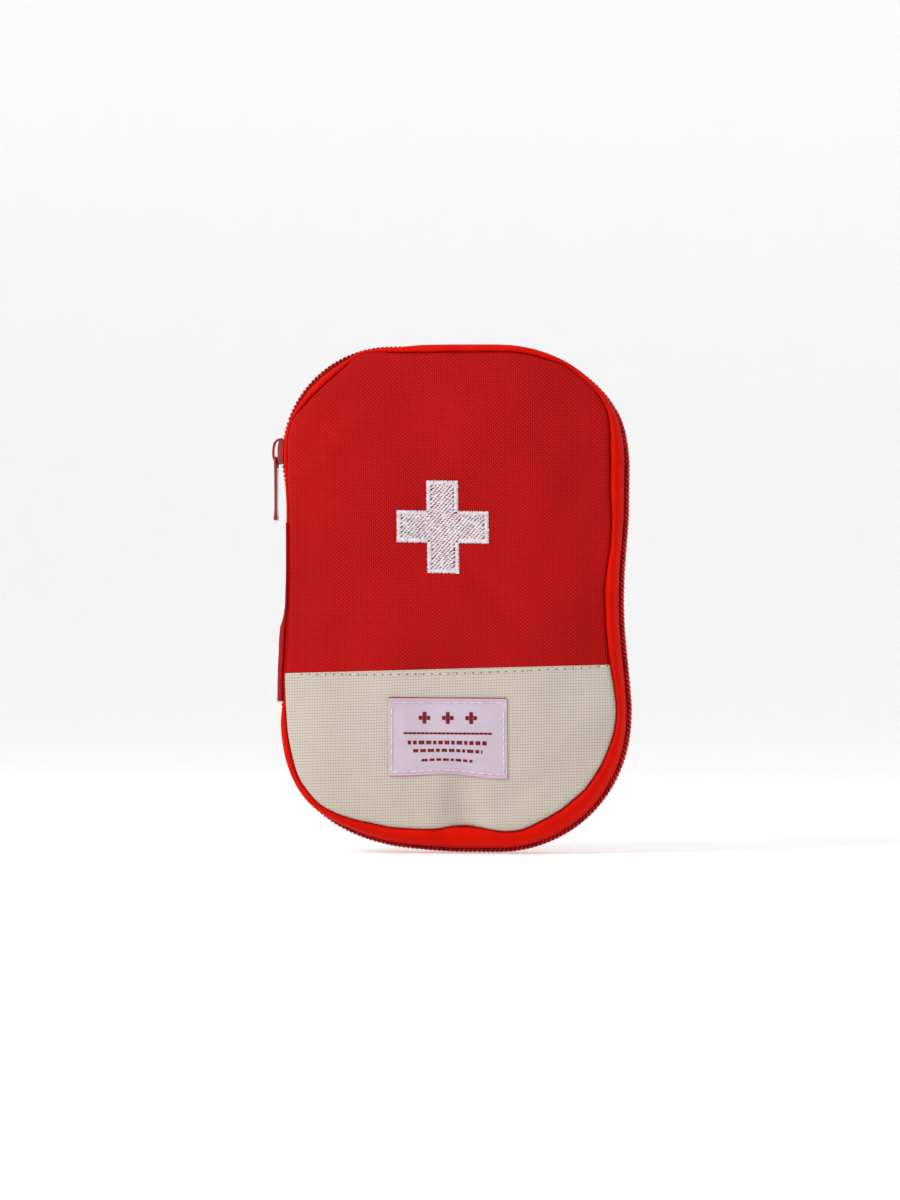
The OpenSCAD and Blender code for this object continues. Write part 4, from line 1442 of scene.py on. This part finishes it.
def closed_tube(name, path, normals, half_wide, half_thick, material):
    """A flattened tape folded over an edge, all the way round; half_wide lies along the depth."""
    turn = full_turn(12)
    wide = power(np.cos(turn), 0.7) * half_wide * MM
    thin = np.sin(turn) * half_thick * MM
    depth = np.array([0.0, 1.0, 0.0])
    points = path[:, None] + wide[None, :, None] * depth + thin[None, :, None] * normals[:, None]
    along = np.arange(len(path) + 1) * PERIMETER / len(path)
    round_it = np.arange(13) * 0.45
    return grid(name, points, True, True, along, round_it, material=material)


# ---- pockets ----
def pocket_edge():
    """Outline of a pocket's sheet, cut off at its top."""
    inset = 8.2
    x, z = OUT_X - inset * NORMAL_X, OUT_Z - inset * NORMAL_Z
    keep = z <= POCKET_TOP
    order = np.roll(np.arange(len(x)), len(x) // 2)
    order = order[keep[order]]
    return x[order], z[order]


pocket_low, pocket_high = box_mm("back_pocket_hem")
POCKET_TOP = pocket_low[2]
HEM_TOP = pocket_high[2]


def inside(x, z, ex, ez):
    """Which points are within a closed line."""
    hit = np.zeros(np.shape(x), bool)
    for xa, za, xb, zb in zip(ex, ez, np.roll(ex, -1), np.roll(ez, -1)):
        if za != zb:
            crosses = (za > z) != (zb > z)
            hit ^= crosses & (x < (xb - xa) * (z - za) / (zb - za) + xa)
    return hit


def mesh_pocket(side, body, base, bulge, node, hem_node):
    """Knitted net pocket with a bound edge and a ribbed elastic top hem. base is its rise at the edge."""
    ex, ez = pocket_edge()
    ex, ez = ex[::6], ez[::6]

    def rise(x, z):
        full = np.clip(1 - (x / 54) ** 2, 0, 1) * np.clip(1 - ((z - 46) / 44) ** 2, 0, 1)
        return base + bulge * full

    parts = []
    for tilt in (1, -1):
        slope = math.radians(57) * tilt
        c, s = math.cos(slope), math.sin(slope)
        for offset in np.arange(-110, 110, 2.3):
            t = np.arange(-110, 110, 1.5)
            x, z = offset * -s + t * c, 46 + offset * c + t * s
            ok = inside(x, z, ex, ez)
            if ok.sum() < 3:
                continue
            x, z = x[ok], z[ok]
            weave = 0.14 * np.sin(np.arange(len(x)) * math.pi) * tilt
            parts.append(tube(place(x, side * (rise(x, z) + weave), z), 0.2 * MM, 4))
    net = join_parts(f"net_{body}", parts, NET)
    wear(net, body, "mesh_grey", node)
    edge = place(ex, side * (rise(ex, ez) + 0.1), ez)
    bound = tube(edge, 1.0 * MM, 10, 0.45, np.array([0.0, 1.0, 0.0]))
    wear(join_parts(f"net_binding_{body}", [bound], ELASTIC), body, "elastic_black")
    half = -float(np.interp(left_along(POCKET_TOP + 2), ALONG, OUT_X))
    x = np.linspace(-half + 8, half - 8, 160)
    z = np.linspace(POCKET_TOP - 0.6, HEM_TOP, 24)
    gathered = 0.12 * np.sin(x * 2.1) + 0.1 * np.sin(x * 0.9 + 1)
    ribs = 0.10 * np.cos(z * 2 * math.pi / 0.7)
    height = rise(x, POCKET_TOP)[:, None] + gathered[:, None] + ribs[None, :]
    points = place(x[:, None], side * height, z[None, :])
    hem = grid(f"net_hem_{body}", points, u=x + 60, v=z, flip=side < 0, material=ELASTIC)
    thicken(hem, 0.7, 0)
    wear(hem, body, "elastic_black", hem_node)


# ---- dressings ----
def packet(name, x0, x1, z0, z1, rise, thick, seed, material):
    """A sealed paper packet: puffed middle and flat crimped borders. Returns its top and under sheets."""
    own = np.random.default_rng(seed)
    wide, tall = x1 - x0, z1 - z0
    p, q = np.linspace(0, 1, 70), np.linspace(0, 1, 90)
    border = np.minimum(np.minimum(p, 1 - p)[:, None] * wide, np.minimum(q, 1 - q)[None, :] * tall)
    puff = smooth(3.0, 9.0, border) * 0.85 + 0.15
    wavy = 0.08 * np.sin(p[:, None] * 9 + own.uniform(0, 6)) * np.sin(q[None, :] * 7 + own.uniform(0, 6))
    crimp = 0.07 * np.cos(2 * math.pi * q[None, :] * tall / 1.3) * smooth(4.2, 3.2, border)
    x = x0 + p[:, None] * wide + 0 * q[None, :]
    z = z0 + q[None, :] * tall + 0 * p[:, None]
    sides = []
    for way in (1, -1):
        height = rise + way * (thick / 2 * puff) + crimp + wavy * puff
        sides.append(place(x, height, z))
    obj_top = grid(name, sides[0], u=p * wide, v=q * tall, material=material)
    obj_low = grid(name + "_under", sides[1], u=p * wide, v=q * tall, flip=True, material=material)
    return [obj_top, obj_low]


def merge(name, objects):
    """Several fresh meshes into one object, welded where they meet."""
    shape = bmesh.new()
    for obj in objects:
        shape.from_mesh(obj.data)
    target = objects[0]
    for obj in objects[1:]:
        bpy.data.objects.remove(obj)
    bmesh.ops.remove_doubles(shape, verts=shape.verts, dist=0.00002)
    shape.to_mesh(target.data)
    shape.free()
    target.name = name
    return target


def span(node):
    """A node's box in case coordinates: x0, x1, low rise, high rise, z0, z1."""
    low, high = box_mm(node)
    return low[0] - MID_X, high[0] - MID_X, ZIP_Y - high[1], ZIP_Y - low[1], low[2], high[2]


def packets():
    """Three gauze packets in a stack, and two wipes side by side."""
    x0, x1, v0, v1, z0, z1 = span("gauze_pads")
    step = (v1 - v0) / 3
    sheets = []
    for k in range(3):
        low = v0 + step * (k + 0.5)
        edges = (x0 + 0.7 * k, x1 - 0.5 * k, z0 + 0.8 * k, z1 - 0.6 * (2 - k))
        sheets += packet("gauze", *edges, low, step * 0.9, k, PAPER)
    wear(merge("gauze_packets", sheets), "back_half", "sachet_paper", "gauze_pads")
    x0, x1, v0, v1, z0, z1 = span("wipe_sachets")
    wide = (x1 - x0 - 4) / 2
    sheets = []
    for k in range(2):
        left = x0 + k * (wide + 4)
        sheets += packet("wipe", left, left + wide, z0, z1, (v0 + v1) / 2, (v1 - v0) * 0.95, 10 + k, FOIL)
    wear(merge("wipe_packets", sheets), "back_half", "sachet_paper", "wipe_sachets")


def plasters():
    """Wrapped plasters side by side in two layers: round-ended strips with a raised pad."""
    x0, x1, v0, v1, z0, z1 = span("plaster_strips")
    parts = []
    for k in range(6):
        column, layer = k % 3, k // 3
        wide = 17.6
        cx = x0 + (x1 - x0) * (column + 0.5) / 3
        z_low = z0 + 0.4 + layer * 1.2
        long = (z1 - z0) - 2.0
        lean = 0.010 * (column - 1)
        ring = rounded(wide, long, wide * 0.48, 10)
        base = v0 + (v1 - v0) * (0.28 + 0.46 * (1 - layer))
        rings = []
        for part, soft in ((-1, 0.5), (-0.7, 0.0), (0.7, 0.0), (1, 0.5)):
            x = cx + ring[:, 0] * (1 - soft / wide) + lean * ring[:, 1]
            z = z_low + long / 2 + ring[:, 1] * (1 - soft / long)
            rings.append(place(x, base + 0.3 * part, z))
        parts.append(loft(np.stack(rings)))
        pad = rounded(wide * 0.8, 22, 1.6, 6)
        x, z = cx + pad[:, 0], z_low + long / 2 + pad[:, 1]
        parts.append(loft(np.stack([place(x, base - 0.25, z), place(cx + pad[:, 0] * 0.94, base - 0.48, z)])))
    wear(join_parts("plasters", parts, PLASTER), "cover", "plaster_skin", "plaster_strips")


def bandage(name, node, turns, material, slot, inner, wavy):
    """A rolled strip: one spiral sheet whose turns show at both ends."""
    x0, x1, v0, v1, z0, z1 = span(node)
    cx, cv, reach = (x0 + x1) / 2, (v0 + v1) / 2, (x1 - x0) / 2
    turn = np.linspace(0, turns * 2 * math.pi, int(turns * 48) + 1)
    own = np.random.default_rng(len(name))
    radius = np.linspace(inner, reach - 0.35, len(turn))
    radius = radius + wavy * 0.12 * np.sin(turn * 3.03 + 1) * smooth(inner, reach, radius)
    levels = np.concatenate([[0, 0.02], np.linspace(0.06, 0.94, 12), [0.98, 1]])
    ends = wavy * own.normal(0, 0.14, (len(turn), 2))
    ends = np.stack([np.convolve(ends[:, k], np.ones(9) / 3, mode="same") for k in range(2)], axis=1)
    z = z0 + 0.2 + (z1 - z0 - 0.4) * levels[None, :]
    z = z + ends[:, :1] * (levels < 0.01) + ends[:, 1:] * (levels > 0.99)
    x = cx + radius[:, None] * np.cos(turn)[:, None] + 0 * levels[None, :]
    v = cv + radius[:, None] * np.sin(turn)[:, None] + 0 * levels[None, :]
    gone = np.concatenate([[0], np.cumsum(np.hypot(*np.diff(np.stack([x[:, 0], v[:, 0]]), axis=1)))])
    roll = grid(name, place(x, v, z), u=gone, v=z0 + (z1 - z0) * levels, material=material)
    thicken(roll, 0.34, 0)
    wear(roll, "back_half", slot, node)


def spool():
    """Moulded core of the tape roll: a ribbed sleeve with beads at both ends."""
    x0, x1, v0, v1, z0, z1 = span("tape_core")
    cx, cv, r = (x0 + x1) / 2, (v0 + v1) / 2, (x1 - x0) / 2
    profile = [
        (r - 1.0, z0 + 0.2), (r - 0.8, z0), (r - 0.15, z0), (r, z0 + 0.2), (r, z1 - 0.2),
        (r - 0.15, z1), (r - 0.8, z1), (r - 1.0, z1 - 0.2), (r - 1.0, z0 + 0.2),
    ]
    turn = full_turn(72)
    radius = np.array([a for a, _ in profile])[:, None]
    inner = radius < r - 0.9
    radius = radius - 0.25 * inner * (np.cos(turn * 8)[None, :] > 0.7)
    x, v = cx + radius * np.cos(turn), cv + radius * np.sin(turn)
    z = np.array([b for _, b in profile])[:, None] + 0 * turn[None, :]
    core = join_parts("tape_spool", [loft(place(x, v, z), caps=False)], CORE)
    wear(core, "back_half", "core_blue", "tape_core")


def loops():
    """Elastic over each roll, sewn down between them, and a small loop for the tweezers."""
    *_, z0, z1 = span("elastic_loops")
    parts = []
    seat = -11.3  # rise of the back half's lining, where the loops are sewn down
    rolls = [span(node) for node in ("wide_bandage", "narrow_bandage", "tape_roll")]
    for rx0, rx1, rv0, rv1, _, _ in rolls:
        cx, cv, r = (rx0 + rx1) / 2, (rv0 + rv1) / 2, (rx1 - rx0) / 2 + 0.55
        over = np.linspace(-8, 188, 50)
        path = [(cx + r * math.cos(math.radians(a)), cv + r * math.sin(math.radians(a))) for a in over]
        path = [(cx + r + 0.9, seat), (cx + r + 0.3, seat + 1.2), (cx + r, -6)] + path
        path = path + [(cx - r, -6), (cx - r - 0.3, seat + 1.2), (cx - r - 0.9, seat)]
        parts.append(path)
    tx0, tx1, tv0, tv1, _, _ = span("tweezers")
    parts.append([(tx1 + 1.2, seat), (tx1 + 0.9, tv0), (tx1 + 0.5, tv1 + 0.3), (tx1 - 1, tv1 + 0.75),
                  (tx0 + 1, tv1 + 0.75), (tx0 - 0.5, tv1 + 0.3), (tx0 - 0.9, tv0), (tx0 - 1.2, seat)])
    z = np.linspace(z0, z1, 40)
    for k, path in enumerate(parts):
        path = np.array(path)
        gone = np.concatenate([[0], np.cumsum(np.hypot(*np.diff(path.T, axis=1)))])
        fine = np.linspace(0, gone[-1], 110)
        x, v = np.interp(fine, gone, path[:, 0]), np.interp(fine, gone, path[:, 1])
        kernel = np.ones(5) / 5
        x[2:-2], v[2:-2] = np.convolve(x, kernel, "valid"), np.convolve(v, kernel, "valid")
        nx, nv = np.gradient(v), -np.gradient(x)
        size = np.hypot(nx, nv)
        rib = 0.09 * np.cos(2 * math.pi * (z - z0) / 1.3)[None, :]
        x = x[:, None] + rib * (nx / size)[:, None]
        v = v[:, None] + rib * (nv / size)[:, None]
        points = place(x, v, z[None, :])
        loop = grid(f"elastic_{k}", points, u=fine, v=z, material=ELASTIC)
        thicken(loop, 0.55, 0)
        wear(loop, "back_half", "elastic_black", *(["elastic_loops"] if k == 0 else []))


def tweezers():
    """Two spring steel legs joined at the top, bowed apart and brought to slanted tips below."""
    x0, x1, v0, v1, z0, z1 = span("tweezers")
    cx, mid = (x0 + x1) / 2, (v0 + v1) / 2
    t = np.linspace(0, 1, 60)
    z = z1 - 0.3 - t * (z1 - z0 - 0.6)
    half = np.interp(t, [0, 0.05, 0.3, 0.7, 0.9, 1.0], [2.4, 3.2, 4.0, 3.3, 1.7, 0.9])
    gap = (v1 - v0) / 2 - 0.55
    apart = gap * np.interp(t, [0, 0.1, 0.45, 0.8, 1.0], [0.25, 0.45, 1.0, 0.95, 0.75])
    parts = []
    for way in (1, -1):
        rings = []
        for k in range(len(t)):
            ring = rounded(2 * half[k], 0.85, 0.3, 4)
            rings.append(place(cx + ring[:, 0], mid + way * apart[k] + ring[:, 1], z[k]))
        parts.append(loft(np.stack(rings)))
    for z_rib in np.arange(z1 - 34, z1 - 24, 1.6):
        level = float(np.interp(z_rib, z[::-1], apart[::-1]))
        parts.append(tube(place(np.linspace(cx - 2.8, cx + 2.8, 6), mid + level + 0.42, z_rib), 0.28 * MM, 6))
    ring = rounded(4.8, v1 - v0 - 2.2, 0.9, 5)
    levels = ((0.9, 0), (1, 0.6), (1, 2.2), (0.8, 2.9))
    top = [place(cx + ring[:, 0] * k, mid + ring[:, 1] * k, z1 - 3 + h) for k, h in levels]
    parts.append(loft(np.stack(top)))
    wear(join_parts("tweezers_steel", parts, STEEL), "back_half", "steel", "tweezers")


# ---- belt loop ----
def belt_loop():
    """Webbing strap on the back, its ends turned under and sewn with boxed crosses."""
    x0, x1, v0, _, z0, z1 = span("belt_loop")
    cx, half = (x0 + x1) / 2, (x1 - x0) / 2
    stand = -v0 - 1.0
    end, ramp = 12.0, 8.0
    z = np.linspace(z0, z1, 150)
    near = np.minimum(z - z0, z1 - z)
    x = np.linspace(-half, half, 40)
    seat = BACK.rise(cx + x[:, None], z[None, :]) + 0.55
    away = smooth(end, end + ramp, near)[None, :]
    sag = 0.35 * bump(z, (z0 + z1) / 2, 18)[None, :] - 0.25 * (np.abs(x) / half)[:, None] ** 4
    rise = -(seat * (1 - away) + (stand + sag) * away)
    ends = 0.5 * smooth(end + 0.3, end - 0.3, near)[None, :]
    points = place(cx + x[:, None], rise - ends, z[None, :])
    strap = grid("belt_strap", points, u=x + half, v=z, flip=True, material=WEBBING)
    thicken(strap, 1.1)
    wear(strap, "back_half", "webbing_red", "belt_loop")
    starts, stops = [], []

    def sew(xa, za, xb, zb):
        count = max(2, int(math.hypot(xb - xa, zb - za) / 2.1))
        t = np.linspace(0, 1, count + 1)
        a = np.stack([xa + (xb - xa) * t, za + (zb - za) * t], axis=1)
        starts.append(a[:-1] + 0.1 * (a[1:] - a[:-1]))
        stops.append(a[:-1] + 0.9 * (a[1:] - a[:-1]))

    for low in (z0 + 1.6, z1 - end + 1.2):
        box = [(-half + 2, low), (half - 2, low), (half - 2, low + 9), (-half + 2, low + 9)]
        for (xa, za), (xb, zb) in zip(box, box[1:] + box[:1]):
            sew(xa, za, xb, zb)
        sew(-half + 2, low, half - 2, low + 9)
        sew(half - 2, low, -half + 2, low + 9)
    start, stop = np.concatenate(starts), np.concatenate(stops)

    def on_end(p):
        return place(cx + p[:, 0], -(BACK.rise(cx + p[:, 0], p[:, 1]) + 1.12), p[:, 1])

    back = np.array([0, 1.0, 0])
    sewn = threads("belt_stitches", on_end(start), on_end(stop), back, 0.0003, RED_YARN, 0.00015)
    wear(sewn, "back_half", "webbing_red")


# ---- camera, light and stage ----
CAMERA_AZIMUTH = 7.0
CAMERA_ELEVATION = -1.5
CAMERA_DISTANCE = 1.2
VIEW_HEIGHT = 0.438  # what the picture's height covers at the case, in metres
AIM = Vector(place(-1.8, 0, 92.0).ravel())


def camera():
    """The photograph's camera: nearly level with the case and turned a little to its right."""
    data = bpy.data.cameras.new("camera")
    data.sensor_fit = "VERTICAL"
    data.sensor_height = 36
    data.lens = data.sensor_height * CAMERA_DISTANCE / VIEW_HEIGHT
    data.clip_end = 50
    obj = in_scene("camera", data)
    a, e = math.radians(CAMERA_AZIMUTH), math.radians(CAMERA_ELEVATION)
    away = Vector((math.sin(a) * math.cos(e), -math.cos(a) * math.cos(e), math.sin(e)))
    obj.location = AIM + away * CAMERA_DISTANCE
    obj.rotation_euler = (-away).to_track_quat("-Z", "Y").to_euler()
    bpy.context.scene.camera = obj


def softbox(name, at, aim, size, watts):
    """A soft rectangular light at a place in metres, aimed at another."""
    data = bpy.data.lights.new(name, "AREA")
    data.shape = "RECTANGLE"
    data.size, data.size_y = size
    data.energy = watts
    obj = in_scene(name, data)
    obj.location = at
    obj.rotation_euler = (Vector(aim) - Vector(at)).to_track_quat("-Z", "Y").to_euler()


def studio():
    """White world, three soft lights, and a pale floor that curves up into a wall all round."""
    world = bpy.data.worlds.new("studio")
    world.use_nodes = True
    world.node_tree.nodes["Background"].inputs["Color"].default_value = (1, 1, 1, 1)
    world.node_tree.nodes["Background"].inputs["Strength"].default_value = 0.26
    bpy.context.scene.world = world
    softbox("key", (-0.8, -0.6, 0.8), (0, 0, 0.09), (0.3, 0.3), 9.4)
    softbox("fill", (0.9, -0.8, 0.35), (0, 0, 0.09), (0.8, 0.8), 1.3)
    softbox("top", (0.0, 0.1, 1.1), (0, 0, 0.05), (0.9, 0.9), 2.5)
    shader = Shader("paper_sweep", Roughness=0.5, Specular_IOR_Level=0.3)
    shader.bsdf.inputs["Emission Color"].default_value = (1, 1, 1, 1)
    shader.bsdf.inputs["Emission Strength"].default_value = 0.35
    speckle = shader.noise(40.0, 4.0)
    sweep = shader.use(shader.mix(speckle, (0.80, 0.795, 0.80, 1), (0.82, 0.82, 0.82, 1)))
    reach = np.concatenate([[0.0, 0.3, 0.8, 1.4], 2.0 + 0.9 * np.sin(np.linspace(0, math.pi / 2, 16)), [2.9]])
    height = np.concatenate([np.zeros(4), 0.9 * (1 - np.cos(np.linspace(0, math.pi / 2, 16))), [2.6]])
    turn = full_turn(96)
    x, y = reach[None, :] * np.cos(turn)[:, None], reach[None, :] * np.sin(turn)[:, None]
    points = np.stack([x, y, height + 0 * x], axis=-1)
    floor = weld(grid("sweep", points, closed_rows=True, material=sweep))
    bpy.context.scene.view_settings.view_transform = "Standard"


inflate(FRONT)
inflate(BACK)
front_fabrics()
seam_topstitch()
band("front_band", FRONT, "cover", "front_gusset")
band("back_band", BACK, "back_half", "back_gusset")
zip_halves()
spine()
spine_stitches()
cross()
label()
slider()
back_cloth()
lining(FRONT, "cover", "front_lining")
lining(BACK, "back_half", "back_lining")
mesh_pocket(1, "cover", 7.3, 0.5, "cover_pocket", "cover_pocket_hem")
mesh_pocket(-1, "back_half", 0.95, 0.0, "back_pocket", "back_pocket_hem")
packets()
plasters()
bandage("wide_roll", "wide_bandage", 13, CREPE, "gauze_white", 1.6, 1.0)
bandage("narrow_roll", "narrow_bandage", 12, CREPE, "gauze_white", 2.0, 1.0)
bandage("tape_winding", "tape_roll", 8, TAPE_ROLL, "tape_white", 6.9, 0.15)
spool()
loops()
tweezers()
belt_loop()
camera()
studio()
